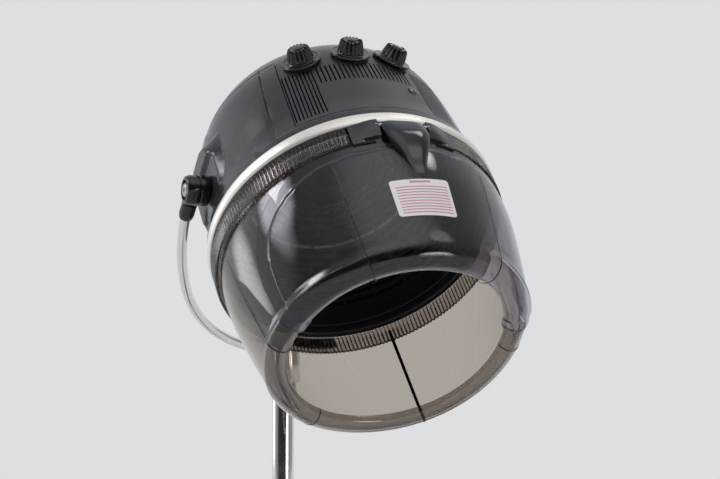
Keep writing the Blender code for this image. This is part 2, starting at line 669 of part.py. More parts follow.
AXLE_R = 0.0039
WHEEL = ((4.05, -9.5), (20.5, -9.5), (25, -6), (25, 6), (20.5, 9.5), (4.05, 9.5))
CHEEK = [(y * MM, z * MM) for y, z in ((-12, 40), (-8, 33), (11, 17), (22, 17), (27, 24), (27, 54), (-12, 54))]
for i in range(LEG_COUNT):
    heading = -pi / 2 + 2 * pi * i / LEG_COUNT
    frame = POLE @ Matrix.Rotation(heading, 4, "Z")
    leg = add(f"base_leg_{i + 1}", *leg_mesh(), "black", frame)
    stem_at = Matrix.Translation((0.238, 0, 0))
    combined(leg, placed(rod(0.0053, 0.050, 0.0838, 12), stem_at), "DIFFERENCE")
    swivel = frame @ stem_at @ Matrix.Rotation(radians(CASTOR_TURNS[i]), 4, "Z")
    fork = add(f"castor_fork_{i + 1}", *box(-0.0150, 0.0150, -0.012, 0.027, 0.0525, 0.0654), "black", swivel)
    combined(
        fork,
        merged(prism_x(CHEEK, -0.0150, -0.0120), prism_x(CHEEK, 0.0120, 0.0150), rod(0.0050, 0.060, 0.0832, 12)),
        "UNION",
    )
    axle = Matrix.Translation((0, CASTOR_TRAIL, CASTOR_R)) @ Matrix.Rotation(pi / 2, 4, "Y")
    combined(fork, placed(rod(AXLE_R, -0.0135, 0.0135, 12), axle), "UNION")
    mesh = revolved([(r * MM, z * MM) for r, z in WHEEL], 20, closed=True)
    add(f"castor_wheel_{i + 1}", *mesh, "rubber", swivel @ axle)

# ---- joint axes ----------------------------------------------------------------------------
by_name = bpy.data.objects
bpy.context.view_layer.update()


def ride(parent, names):
    for name in names:
        obj = by_name[name]
        kept = obj.matrix_world.copy()
        obj.parent = parent
        obj.matrix_parent_inverse = parent.matrix_world.inverted()
        obj.matrix_world = kept


column_axis = axis_empty("axis_column_height", HUB)
swivel_axis = axis_empty("axis_head_swivel", HUB)
head_axis = axis_empty("axis_head_tilt", HEAD)
visor_axis = axis_empty("axis_visor_hinge", COLLAR @ Matrix.Translation((0, -HINGE_Y, HINGE_Z)))
fan_axis = axis_empty("axis_fan_spin", COLLAR @ Matrix.Translation((0, 0, 0.170)))
ride(column_axis, ["inner_column", "axis_head_swivel"])
ride(
    swivel_axis,
    ["yoke_tube", "yoke_hub", "axis_head_tilt"]
    + [a + b for a in ("left_", "right_") for b in ("pivot_barrel", "pivot_bolt", "yoke_socket")],
)
ride(
    head_axis,
    [
        "top_shell", "front_panel", "trim_ring", "ribbed_collar", "rear_clip", "hinge_bracket", "visor_hinge_pin",
        "rear_bowl", "inner_bowl", "fan_housing", "fan_motor", "heater_frame", "heater_coil", "thermostat",
        "timer_body", "temperature_switch", "speed_switch", "pilot_lens", "cable_gland",
        "timer_knob", "temperature_knob", "speed_knob", "axis_visor_hinge", "axis_fan_spin",
    ],
)
ride(visor_axis, ["visor", "visor_label", "visor_arm"])
ride(fan_axis, ["fan_impeller"])
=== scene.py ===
"""Looks of the hood hair dryer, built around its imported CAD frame."""

import json
from math import cos, degrees, hypot, pi, radians, sin, sqrt

import bpy
import numpy as np
from mathutils import Matrix, Vector


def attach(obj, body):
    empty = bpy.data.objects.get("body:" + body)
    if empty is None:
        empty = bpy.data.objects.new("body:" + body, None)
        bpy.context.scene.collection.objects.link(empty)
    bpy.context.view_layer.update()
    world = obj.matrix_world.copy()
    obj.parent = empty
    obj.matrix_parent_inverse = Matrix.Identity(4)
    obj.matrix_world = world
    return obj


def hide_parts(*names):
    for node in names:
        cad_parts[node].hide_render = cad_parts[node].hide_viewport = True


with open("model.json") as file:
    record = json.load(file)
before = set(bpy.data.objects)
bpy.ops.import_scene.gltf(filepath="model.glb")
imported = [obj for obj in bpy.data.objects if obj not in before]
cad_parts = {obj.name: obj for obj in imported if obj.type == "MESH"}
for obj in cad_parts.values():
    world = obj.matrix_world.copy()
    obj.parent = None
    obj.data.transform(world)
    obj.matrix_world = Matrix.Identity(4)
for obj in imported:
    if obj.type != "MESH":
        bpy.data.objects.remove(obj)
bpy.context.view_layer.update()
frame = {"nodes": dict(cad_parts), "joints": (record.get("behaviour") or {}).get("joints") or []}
joints = {joint["name"]: joint for joint in frame["joints"]}

MM = 0.001
HOOD_RADIUS = 170.0  # in millimetres, as every length below that is multiplied by MM
PIVOT_UP = 97.0  # pivot above the collar's lower edge
YOKE_TILT = radians(47)  # the yoke runs back from the pivots, this far from straight down
pivot = Vector(joints["head_tilt"]["pos_m"])
hood_up = Vector(joints["fan_spin"]["axis"]).normalized()
to_right = Vector((1, 0, 0))
TURN = Matrix((to_right, hood_up.cross(to_right), hood_up)).transposed().to_4x4()
HOOD = Matrix.Translation(pivot - hood_up * PIVOT_UP * MM) @ TURN
pole = Vector(joints["head_swivel"]["pos_m"])
YOKE = Matrix.Translation(pivot) @ Matrix.Rotation(YOKE_TILT, 4, "X")
POLE = Matrix.Translation((pole.x, pole.y, 0))
HUB = Matrix.Translation(pole)
UP = Vector((0, 0, 1))


def linked(name, data):
    """New object in the scene."""
    obj = bpy.data.objects.new(name, data)
    bpy.context.scene.collection.objects.link(obj)
    return obj


# ---- mesh helpers (lengths in millimetres in the piece's own frame) ----
def make(name, mesh, look, body, at=None, replaces=(), sharp=32, bevel=0.0):
    """Piece from a mesh in the frame at (the hood's when None), riding on a body."""
    verts, faces = mesh
    points = np.array(verts, float) * MM
    matrix = np.array(HOOD if at is None else at, float)
    points = points @ matrix[:3, :3].T + matrix[:3, 3]
    data = bpy.data.meshes.new(name)
    data.from_pydata(points.tolist(), [], [tuple(f) for f in faces])
    data.validate()
    data.shade_smooth()
    if sharp < 180:
        data.set_sharp_from_angle(angle=radians(sharp))
    data.materials.append(look)
    obj = linked(name, data)
    if bevel:
        edge = obj.modifiers.new("edges", "BEVEL")
        edge.width = bevel * MM
        edge.segments = 2
        edge.limit_method = "ANGLE"
        edge.angle_limit = radians(40)
        edge.harden_normals = True
    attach(obj, body)
    if replaces:
        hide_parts(*replaces)
    return obj


def through(points, steps=6):
    """Smooth curve through the points (centripetal Catmull-Rom)."""
    p = [np.array(q, float) for q in points]
    p = [2 * p[0] - p[1]] + p + [2 * p[-1] - p[-2]]
    out = []
    for i in range(1, len(p) - 2):
        a, b, c, d = p[i - 1 : i + 3]
        t1 = np.linalg.norm(b - a) ** 0.5
        t2 = t1 + np.linalg.norm(c - b) ** 0.5
        t3 = t2 + np.linalg.norm(d - c) ** 0.5
        for k in range(steps):
            t = t1 + (t2 - t1) * k / steps
            a1 = (t1 - t) / t1 * a + t / t1 * b
            a2 = (t2 - t) / (t2 - t1) * b + (t - t1) / (t2 - t1) * c
            a3 = (t3 - t) / (t3 - t2) * c + (t - t2) / (t3 - t2) * d
            b1 = (t2 - t) / t2 * a1 + t / t2 * a2
            b2 = (t3 - t) / (t3 - t1) * a2 + (t - t1) / (t3 - t1) * a3
            out.append((t2 - t) / (t2 - t1) * b1 + (t - t1) / (t2 - t1) * b2)
    out.append(p[-2])
    return np.array(out)


def rounded(points, radius=1.0, steps=3):
    """The path with its corners cut round."""
    pts = [np.array(q, float) for q in points]
    out = [pts[0]]
    for a, b, c in zip(pts, pts[1:], pts[2:]):
        la, lc = np.linalg.norm(a - b), np.linalg.norm(c - b)
        cut = min(radius, 0.45 * la, 0.45 * lc)
        start, end = b + (a - b) / la * cut, b + (c - b) / lc * cut
        for k in range(steps + 1):
            t = k / steps
            out.append((1 - t) ** 2 * start + 2 * t * (1 - t) * b + t * t * end)
    out.append(pts[-1])
    return [tuple(q) for q in out]


def offset(path, distance):
    """The (r, z) path moved to its outer side, which is the side of larger r where it runs down."""
    path = np.array(path, float)
    run = np.gradient(path, axis=0)
    run /= np.linalg.norm(run, axis=1)[:, None]
    return path + np.stack([-run[:, 1], run[:, 0]], 1) * distance


def revolved(profile, segments=64, change=None, closed=False):
    """Body of revolution about Z from (r, z) points that have the body on their left."""
    verts, rings = [], []
    for r, z in profile:
        if r < 1e-6:
            rings.append([len(verts)])
            verts.append((0.0, 0.0, z))
            continue
        rings.append(list(range(len(verts), len(verts) + segments)))
        for i in range(segments):
            a = 2 * pi * i / segments
            rr, zz = change(a, r, z) if change else (r, z)
            verts.append((rr * cos(a), rr * sin(a), zz))
    pairs = list(zip(rings, rings[1:])) + ([(rings[-1], rings[0])] if closed else [])
    faces = []
    for low, high in pairs:
        for i in range(segments):
            j = (i + 1) % segments
            if len(low) == 1:
                faces.append((low[0], high[j], high[i]))
            elif len(high) == 1:
                faces.append((low[i], low[j], high[0]))
            else:
                faces.append((low[i], low[j], high[j], high[i]))
    return verts, faces


def sheet(outer, inner, keep=None, wrap=False, pole=False):
    """Closed body between two grids of points [column][row], columns clockwise seen from above."""
    columns, rows = len(outer), len(outer[0])
    cells = columns if wrap else columns - 1
    verts, index = [], {}
    grids = (outer, inner)

    def vertex(layer, i, j):
        """Index of a grid point, made at its first use."""
        i = 0 if pole and j == 0 else i % columns
        key = (layer, i, j)
        if key not in index:
            index[key] = len(verts)
            verts.append(tuple(grids[layer][i][j]))
        return index[key]

    def kept(i, j):
        """True if this cell is part of the body."""
        if wrap:
            i %= cells
        if pole and j < 0:
            return True
        return 0 <= i < cells and 0 <= j < rows - 1 and (keep is None or keep(i, j))

    faces = []
    for i in range(cells):
        for j in range(rows - 1):
            if not kept(i, j):
                continue
            a, b, c, d = (i, j), (i, j + 1), (i + 1, j + 1), (i + 1, j)
            faces.append([vertex(0, *p) for p in (a, d, c, b)])
            faces.append([vertex(1, *p) for p in (b, c, d, a)])
            for p, q, beside in (
                (a, d, (i, j - 1)), (d, c, (i + 1, j)), (c, b, (i, j + 1)), (b, a, (i - 1, j)),
            ):
                if not kept(*beside):
                    faces.append([vertex(0, *q), vertex(0, *p), vertex(1, *p), vertex(1, *q)])
    return verts, [list(dict.fromkeys(face)) for face in faces]


def joined(*meshes):
    """Several meshes as one."""
    verts, faces = [], []
    for more_verts, more_faces in meshes:
        start = len(verts)
        verts += [tuple(v) for v in more_verts]
        faces += [tuple(start + i for i in face) for face in more_faces]
    return verts, faces


def swept(points, radius, sides):
    """Round bar along points in space."""
    p = np.array(points, float)
    run = np.gradient(p, axis=0)
    run /= np.linalg.norm(run, axis=1)[:, None]
    up = np.array((0.0, 1.0, 0.0)) if abs(run[0][1]) < 0.9 else np.array((1.0, 0.0, 0.0))
    turns = [2 * pi * k / sides for k in range(sides)]
    rings = []
    for q, t in zip(p, run):
        up = up - t * np.dot(up, t)
        up /= np.linalg.norm(up)
        beside = np.cross(t, up)
        rings.append([q + radius * (cos(a) * up + sin(a) * beside) for a in turns])
    return lofted(rings)


def lofted(sections):
    """Closed body through rings of points, all with the same count."""
    n = len(sections[0])
    verts = [tuple(p) for ring in sections for p in ring]
    faces = [tuple(reversed(range(n))), tuple(range(len(verts) - n, len(verts)))]
    for i in range(len(sections) - 1):
        for k in range(n):
            m = (k + 1) % n
            faces.append((i * n + k, i * n + m, (i + 1) * n + m, (i + 1) * n + k))
    return verts, faces


def around(angle, r, z):
    """Point at this angle in degrees from the hood's front, towards its left."""
    a = radians(angle)
    return (-r * sin(a), -r * cos(a), z)


def ease(t):
    """Smooth step from 0 to 1."""
    t = min(1.0, max(0.0, t))
    return t * t * (3 - 2 * t)


def along(x, sign=1):
    """Frame whose Z points along +X or -X."""
    return Matrix.Translation((x * MM, 0, 0)) @ Matrix.Rotation(sign * pi / 2, 4, "Y")


def moved(x, y, z):
    """Frame moved by this much, in millimetres."""
    return Matrix.Translation((x * MM, y * MM, z * MM))


# ---- materials ----
def add(tree, kind, inputs=(), **settings):
    """New shader node; each of its inputs is a value or another node's socket."""
    node = tree.nodes.new("ShaderNode" + kind)
    for key, value in settings.items():
        setattr(node, key, value)
    for key, value in dict(inputs).items():
        if isinstance(value, bpy.types.NodeSocket):
            tree.links.new(value, node.inputs[key])
        else:
            node.inputs[key].default_value = value
    return node


def mixed(tree, factor, first, second, kind="RGBA"):
    """Blend from the first to the second colour or number."""
    node = add(tree, "Mix", {"Factor": factor, "A": first, "B": second}, data_type=kind)
    return node.outputs["Result"]


def blend_surface(tree, factor, first, second):
    """The material's surface becomes a blend of two shaders."""
    mix = add(tree, "MixShader", {0: factor, 1: first.outputs[0], 2: second.outputs[0]})
    tree.links.new(mix.outputs[0], tree.nodes["Material Output"].inputs["Surface"])


def material(name):
    """New material with its node tree and its Principled shader."""
    mat = bpy.data.materials.new(name)
    mat.use_nodes = True
    return mat, mat.node_tree, mat.node_tree.nodes["Principled BSDF"]


def uneven_gloss(tree, shader, at, rough, scale, fade, low):
    """Roughness that wanders between two values in soft smears."""
    smear = add(tree, "TexNoise", {"Vector": at, "Scale": scale, "Detail": 6.0, "Roughness": fade})
    gloss = add(tree, "MapRange", {
        "Value": smear.outputs["Fac"], "From Min": low, "From Max": low + 0.4,
        "To Min": rough[0], "To Max": rough[1],
    })
    tree.links.new(gloss.outputs["Result"], shader.inputs["Roughness"])


def relief(tree, shader, at, scale, detail, strength, distance):
    """Bump from a noise of this scale."""
    noise = add(tree, "TexNoise", {"Vector": at, "Scale": scale, "Detail": detail})
    bump = add(tree, "Bump", {"Height": noise.outputs["Fac"], "Strength": strength, "Distance": distance})
    tree.links.new(bump.outputs["Normal"], shader.inputs["Normal"])


def plastic(name, colour, rough, metallic=0.0, grain=0.0, mottle=0.06, coat=0.0):
    """Moulded, painted or plated surface: mottled colour, uneven gloss and a fine relief."""
    mat, tree, shader = material(name)
    shader.inputs["Metallic"].default_value = metallic
    shader.inputs["IOR"].default_value = 1.49
    shader.inputs["Coat Weight"].default_value = coat
    shader.inputs["Coat Roughness"].default_value = 0.04
    at = add(tree, "TexCoord").outputs["Object"]
    cloud = add(tree, "TexNoise", {"Vector": at, "Scale": 14.0, "Detail": 5.0})
    tint = add(tree, "ValToRGB", {"Fac": cloud.outputs["Fac"]})
    for stop, place, share in zip(tint.color_ramp.elements, (0.3, 0.7), (1 - mottle, 1 + mottle)):
        stop.position = place
        stop.color = (*[min(1, c * share) for c in colour], 1)
    tree.links.new(tint.outputs["Color"], shader.inputs["Base Color"])
    uneven_gloss(tree, shader, at, rough, 38.0, 0.65, 0.3)
    if grain:
        relief(tree, shader, at, 900.0, 3.0, grain, 0.0002)
    return mat


def clear_plastic(name, tint, rough, rim=1.0, shine=1.0):
    """Smoked see-through plastic with another tint in its rolled rim: a deeper one for more plastic, a
    lighter one as painted light; lamps shine through it, tinted.
    """
    mat, tree, shader = material(name)
    shader.inputs["Base Color"].default_value = (*tint, 1)
    shader.inputs["Transmission Weight"].default_value = 1.0
    shader.inputs["IOR"].default_value = 1.49
    shader.inputs["Specular Tint"].default_value = (shine, shine, shine, 1)
    at = add(tree, "TexCoord").outputs["Object"]
    if rim != 1.0:
        height = add(tree, "VectorMath", {0: at, 1: hood_up}, operation="DOT_PRODUCT")
        edge = HOOD.translation.dot(hood_up)
        depth = add(tree, "MapRange", {
            "Value": height.outputs["Value"], "From Min": edge - 0.131, "From Max": edge - 0.143,
        })
        rim_tint = mixed(tree, depth.outputs["Result"], (*tint, 1), (*[c * rim for c in tint], 1))
        tree.links.new(rim_tint, shader.inputs["Base Color"])
    uneven_gloss(tree, shader, at, rough, 22.0, 0.7, 0.35)
    relief(tree, shader, at, 9.0, 1.0, 0.01, 0.004)
    lamp = add(tree, "LightPath")
    passed = add(tree, "BsdfTransparent", {"Color": (*tint, 1)})
    blend_surface(tree, lamp.outputs["Is Shadow Ray"], shader, passed)
    return mat


SMOKE = (0.60, 0.545, 0.485)
look_smoked = clear_plastic("smoked_clear", SMOKE, rough=(0.03, 0.06), rim=0.62)
# the visor's rolled rim gets a lighter tint, which is painted light in the rim
look_visor = clear_plastic("smoked_visor", (0.30, 0.28, 0.315), rough=(0.03, 0.06), rim=1.7)
look_ribbed = clear_plastic("smoked_ribbed", (0.64, 0.585, 0.535), rough=(0.10, 0.16), shine=0.15)
look_housing = plastic("housing_gloss", (0.030, 0.027, 0.034), (0.16, 0.27), grain=0.05)
look_panel = plastic("panel_satin", (0.036, 0.033, 0.040), (0.28, 0.38), grain=0.10)
look_black = plastic("gloss_black", (0.009, 0.009, 0.011), (0.06, 0.13), grain=0.03)
look_matte = plastic("matt_black", (0.010, 0.010, 0.011), (0.38, 0.55), grain=0.25)
look_dome = plastic("dome_black", (0.016, 0.015, 0.018), (0.34, 0.46), grain=0.15)
look_ring = plastic("satin_silver", (0.88, 0.84, 0.75), (0.36, 0.44), metallic=0.75, grain=0.04, mottle=0.03)
look_chrome = plastic("bright_chrome", (0.80, 0.78, 0.75), (0.05, 0.11), metallic=1.0, mottle=0.02)
look_steel = plastic("turned_steel", (0.42, 0.42, 0.43), (0.25, 0.38), metallic=1.0, grain=0.1)
look_mica = plastic("mica_board", (0.46, 0.38, 0.26), (0.5, 0.7), grain=0.3, mottle=0.2)
look_rubber = plastic("tyre_rubber", (0.017, 0.017, 0.018), (0.6, 0.8), grain=0.35)
look_lens = plastic("smoky_lens", (0.10, 0.075, 0.080), (0.10, 0.20), mottle=0.15, coat=0.2)
look_iron = plastic("enamelled_casting", (0.013, 0.013, 0.014), (0.22, 0.34), grain=0.2)
look_line = plastic("dark_line", (0.004, 0.004, 0.004), (0.2, 0.3))


def paper_label(name):
    """Blank sticker stock with plain ruled bars."""
    mat = plastic(name, (0.93, 0.89, 0.90), (0.30, 0.42), grain=0.08, mottle=0.02, coat=0.2)
    tree = mat.node_tree
    shader = tree.nodes["Principled BSDF"]
    base = shader.inputs["Base Color"].links[0].from_socket
    uv = add(tree, "UVMap", uv_map="sticker")
    parts = add(tree, "SeparateXYZ", {"Vector": uv.outputs["UV"]})

    def math(kind, a, b=0.0):
        """Result of a math node."""
        return add(tree, "Math", {0: a, 1: b}, operation=kind).outputs[0]

    def band(value, low, high):
        """1 between the two values, else 0."""
        return math("MULTIPLY", math("GREATER_THAN", value, low), math("LESS_THAN", value, high))

    u, v = parts.outputs["X"], parts.outputs["Y"]
    bars = math("LESS_THAN", math("FRACT", math("MULTIPLY", v, 13.0)), 0.42)
    body = math("MULTIPLY", math("MULTIPLY", bars, band(v, 0.05, 0.80)), band(u, 0.08, 0.95))
    title = math("MULTIPLY", band(v, 0.885, 0.945), band(u, 0.33, 0.68))
    ink = math("MULTIPLY", math("MAXIMUM", body, title), 0.8)
    tree.links.new(mixed(tree, ink, base, (0.62, 0.16, 0.15, 1)), shader.inputs["Base Color"])
    return mat


look_label = paper_label("sticker_stock")


def painted_rib_shade(mat):
    """Painted shade in the grooves between the ribs, and a darker painted shade on the outside than on the
    lighter inside.
    """
    tree = mat.node_tree
    shader = tree.nodes["Principled BSDF"]
    uv = add(tree, "UVMap", uv_map="ribs")
    parts = add(tree, "SeparateXYZ", {"Vector": uv.outputs["UV"]})
    ramp = add(tree, "ValToRGB", {"Fac": parts.outputs["X"]})
    ramp.color_ramp.elements[0].position = 0.04
    ramp.color_ramp.elements[1].position = 0.17
    # the outside is painted darker as shade, the inside lighter as the light that shines through it
    side = mixed(tree, parts.outputs["Y"], (0.98, 0.95, 0.91, 1), (0.21, 0.18, 0.165, 1))
    # the grooves between the ribs get painted shade
    groove_shade = mixed(tree, ramp.outputs["Color"], (0.030, 0.028, 0.032, 1), side)
    tree.links.new(groove_shade, shader.inputs["Base Color"])


painted_rib_shade(look_ribbed)

# ---- clear bowl, visor, collar ----
WALL = 2.6
PROUD = 3.2
RIM_SPREAD = 4.0
wall_path = through(
    [(164.0, 19), (165.0, 0), (164.6, -17), (161.6, -51), (156.2, -85), (149.8, -119), (146.6, -133),
     (142.5, -143.0), (137.0, -149.5), (130.5, -152.5), (124.0, -151.0), (119.0, -146.5), (117.6, -141.0)],
    5,
)
ROLL_FROM = 30  # first row of the rolled rim in wall_path
ROLL_Z = -133.0
VISOR_HALF = 75.5  # half angle of the visor
ARC = 158.0  # radius that turns an angle into a length along the wall


def bowl_r(z):
    """Outer radius of the bowl's wall at this height."""
    return float(np.interp(-z, -wall_path[: ROLL_FROM + 1, 1], wall_path[: ROLL_FROM + 1, 0]))


def rim_rows(angle, proud):
    """Outer and inner (r, z) rows of the rolled rim at this angle."""
    path = wall_path[ROLL_FROM:]
    run = np.concatenate([[0], np.cumsum(np.linalg.norm(np.diff(path, axis=0), axis=1))])
    wider = RIM_SPREAD * (1 - abs(cos(radians(angle))) ** 5)
    spread = np.stack([wider * np.clip(run / 9.0, 0, 1), 0 * run], 1)
    out = offset(wall_path, proud)[ROLL_FROM:] + spread
    inn = offset(wall_path, proud - WALL)[ROLL_FROM:] + spread
    return out, inn


def bowl_grid(angles, top_of, bottom_of, steps, proud, rise=None):
    """Outer and inner grids of a wall between two edges and the rolled rim below it."""
    outer, inner = [], []
    for angle in angles:
        top, bottom = top_of(angle), bottom_of(angle)
        walls = [(bowl_r(z), z) for z in (top + (bottom - top) * t for t in steps)]
        lift = [proud + (rise(angle, z) if rise else 0.0) for _, z in walls]
        out_rim, in_rim = rim_rows(angle, proud)
        side_rim = [r + (rise(angle, ROLL_Z) if rise else 0.0) for r in out_rim[1:, 0]]
        outer.append(
            [around(angle, r + up, z) for (r, z), up in zip(walls, lift)]
            + [around(angle, r, z) for r, z in zip(side_rim, out_rim[1:, 1])]
        )
        inner.append(
            [around(angle, r + proud - WALL, z) for r, z in walls]
            + [around(angle, r, z) for r, z in in_rim[1:]]
        )
    return outer, inner


def line_through(corners):
    """Height of a smooth edge as a function of the angle, the same on both sides."""
    fine = through(corners, 8)
    return lambda angle: float(np.interp(abs(angle), fine[:, 0], fine[:, 1]))


visor_top = line_through([
    (0, -3.4), (25, -3.4), (38, -4.2), (45, -6.5), (52, -12), (59, -22), (65, -36), (70, -56), (73, -72),
    (VISOR_HALF, -96),
])
window_edge = line_through([
    (0, -13), (32, -13), (40, -15.5), (47, -20.5), (54, -30), (60, -44), (65, -62), (68, -84), (70.3, ROLL_Z),
])
STEPS = [k / 30 for k in range(31)]
half = list(np.arange(76.3, 180.0, 1.45))
side_angles = [21.3 + (76.3 - 21.3) * k / 44 for k in range(44)]
ring = side_angles + half + [180.0]
ring = ring + [360 - a for a in reversed(ring[:-1])]
first = len(side_angles)
last = len(ring) - 1 - first
outer, inner = bowl_grid(ring, lambda a: 19.0, lambda a: window_edge(180 - abs(180 - a)), STEPS, 0.0)
make(
    "bowl", sheet(outer, inner, lambda i, j: j < len(STEPS) - 1 or first <= i < last),
    look_smoked, "head", replaces=["rear_bowl"], sharp=50,
)

FIELD = (
    (0, -15.8), (19, -15.8), (27, -16.0), (36.7, -19.0), (47, -27.7), (55.2, -39.5), (62, -56), (66.5, -78),
    (68.4, -103), (69.5, -145),
)
field_half = through([(radians(a) * ARC, z) for a, z in FIELD], 10)


def visor_rise(angle, z):
    """The visor's field stands a little above its border."""
    x = radians(abs(angle)) * ARC
    gap = float(np.hypot(field_half[:, 0] - x, field_half[:, 1] - z).min())
    limit = float(np.interp(x, field_half[:, 0], field_half[:, 1]))
    within = z < limit and x < field_half[-1, 0]
    return 1.7 * ease((gap if within else -gap) / 2.6 + 0.5) - 0.5


field_edges = {s * a for s in (-1, 1) for a in (67.5, 67.9, 68.3, 68.7, 69.1, 69.5, 69.9, 70.3)}
angles = sorted(set(np.linspace(-VISOR_HALF, VISOR_HALF, 131).round(4)) | field_edges)
dense = [0, 0.004, 0.010, 0.018] + [0.03 + 0.97 * k / 44 for k in range(45)]
outer, inner = bowl_grid(angles, visor_top, lambda a: ROLL_Z, dense, PROUD, visor_rise)
make("visor_door", sheet(outer, inner), look_visor, "visor_door", replaces=["visor"], sharp=60)


STRIPE_R = 160.0  # radius at which a stripe has its stated half width


def stripe(name, angle, body, proud, z_from, width):
    """Thin dark bar along the outside of the bowl, from a height over the rim."""
    rows = [(bowl_r(z) + proud, z) for z in np.linspace(z_from, ROLL_Z, 24)]
    rows = np.array(rows + [tuple(p) for p in rim_rows(angle, proud)[0][1:]])
    low, high = offset(rows, 0.15), offset(rows, 0.6)
    edge = low + (high - low) * 0.3
    spread = [degrees(width * k / STRIPE_R) for k in (-1.0, -0.6, 0.0, 0.6, 1.0)]
    outer = [[around(angle + s, r, z) for r, z in (high if abs(s) < spread[-1] else edge)] for s in spread]
    inner = [[around(angle + s, r, z) for r, z in low] for s in spread]
    make(name, sheet(outer, inner), look_line, body)


for angle, high, width in ((90, -17.0, 1.0), (-90, -17.0, 1.0), (150, 12.0, 0.9), (-149.6, 13.0, 1.9)):
    tag = ("left" if angle > 0 else "right") + str(round(abs(angle)))
    stripe("bowl_line_" + tag, angle, "head", 0.0, high, width)
# painted shade: a dark bar inside the door's clear wall along its edge where it meets the bowl, standing in
# for the dark look of the clear edge seen edge-on
EDGE_SHADE_HALF = 75.3
rows = [(-EDGE_SHADE_HALF, z) for z in np.linspace(-132, -100, 12)]
rows += [(a, visor_top(a)) for a in np.linspace(-EDGE_SHADE_HALF, EDGE_SHADE_HALF, 141)]
rows += [(EDGE_SHADE_HALF, z) for z in np.linspace(-100, -132, 12)]
edge_shade_path = [around(a, bowl_r(z) + PROUD - 1.6, z) for a, z in rows]
make("door_edge_shade", swept(edge_shade_path, 0.55, 8), look_line, "visor_door", sharp=180)
for tag, angle in (("left", 30.5), ("right", -30.5)):
    stripe("visor_line_" + tag, angle, "visor_door", PROUD + 0.9, -28.0, 0.9)

# fluted collar
RIBS = 188
PER = 8
COLLAR_FROM = 21.2  # the collar is open here for the hinge block, on both sides of the front
collar_arc = 360 - 2 * COLLAR_FROM
count = RIBS * PER
span = np.array([COLLAR_FROM + collar_arc * i / count for i in range(count + 1)])
levels = (26.2, 25.6, 24.6, 14.0, 3.0, 1.2, 0.4, 0.0)
depth = (0.0, 0.1, 1.0, 1.0, 1.0, 1.0, 0.8, 0.5)
bump = 0.5 - 0.5 * np.cos(2 * pi * np.arange(count + 1) / PER)
outer = [
    [around(a, 168.7 + 1.55 * d * b**0.7, z - (0.9 * b if z == 0.0 else 0)) for z, d in zip(levels, depth)]
    for a, b in zip(span, bump)
]
inner = [[around(a, 166.4, z) for z in levels] for a in span]
collar = make(
    "fluted_collar", sheet(outer, inner), look_ribbed, "head", replaces=["ribbed_collar"],
    sharp=60,
)


def hood_places(piece):
    """The piece's vertices in the hood's frame, in millimetres, and their angles in degrees."""
    back = np.linalg.inv(np.array(HOOD, float))
    places = (np.array([v.co for v in piece.data.vertices]) @ back[:3, :3].T + back[:3, 3]) / MM
    return places, np.degrees(np.arctan2(-places[:, 0], -places[:, 1]))


# the ribs' phase across, and 1 outside or 0 inside up, which place the painted shade in the grooves and on
# the outside
layer = collar.data.uv_layers.new(name="ribs")
places, turned = hood_places(collar)
turned = turned % 360
phase = 0.5 - 0.5 * np.cos(2 * pi * (turned - COLLAR_FROM) / collar_arc * RIBS)
outside = np.hypot(places[:, 0], places[:, 1]) > 167.5
for loop in collar.data.loops:
    layer.data[loop.index].uv = (phase[loop.vertex_index], float(outside[loop.vertex_index]))

# satin ring
ring_path = rounded(
    [(163, 42.4), (160.8, 34.2), (167.2, 33.8), (167.4, 26.6), (170.3, 26.6), (171.5, 30.0), (171.7, 34.5),
     (171.4, 38.8), (170.0, 42.3), (163, 42.4)],
    1.2, 4,
)
make(
    "trim_band", revolved(ring_path[:-1], 288, closed=True), look_ring, "head",
    replaces=["trim_ring"], sharp=50,
)

# ---- upper housing ----
SHELL_SKIRT = [(168.2, 43.0), (167.5, 50.0), (167.1, 53.2), (166.9, 54.0), (165.9, 54.9), (165.5, 56.0)]
SHELL_DOME = (
    (164.6, 60.5), (161.4, 80), (160.2, 97), (158.9, 117), (157.1, 136), (155.2, 153), (152.2, 170),
    (147.6, 187), (140.2, 204), (127.6, 221), (109.2, 236), (94.0, 243.0), (76.0, 248.0), (53, 251.7),
    (26, 253.8), (0.0, 254.5),
)
SHELL_WALL = 2.8
SHELL_TOP = 254.5
shell_path = np.array(SHELL_SKIRT + through(SHELL_DOME, 7).tolist())


def shell_r(z):
    """Outer radius of the housing at this height, without boss or grooves."""
    return float(np.interp(z, shell_path[:, 1], shell_path[:, 0]))


PANEL_HALF = 38.0
PANEL_LOW, PANEL_HIGH = 56.6, 186.6
crease_line = through([
    (87.5, 190), (83, 165), (77.4, 141.7), (73.0, 110.8), (69.6, 82.8), (66.7, 67.0), (61.5, 58.5),
    (55, 57.0),
], 10)
crease_xy = np.array([(radians(a) * ARC, z) for a, z in crease_line])


def boss_rise(angle, z):
    """Step over the crease that runs down to the collar on each side of the pivot boss."""
    turn = abs((angle + 180) % 360 - 180)
    turn = min(turn, 180 - turn)
    limit = np.interp(z, crease_line[::-1, 1], crease_line[::-1, 0]) if z > 57 else 55.0
    gap = np.hypot(crease_xy[:, 0] - radians(turn) * ARC, crease_xy[:, 1] - z).min()
    inside = turn > limit and z < 190
    step = 0.9 * ease(gap / 1.8) if inside else 0.0
    hollow = 0.0
    if not inside and z < 110:
        hollow = -1.3 * (1 - ease(gap / 15.0)) * ease((110 - z) / 40)
    return step + hollow


def groove(distance, width=1.3, depth=1.6):
    """Depth of a seam at this distance from its middle."""
    return -depth * (1 - ease(abs(distance) / width))


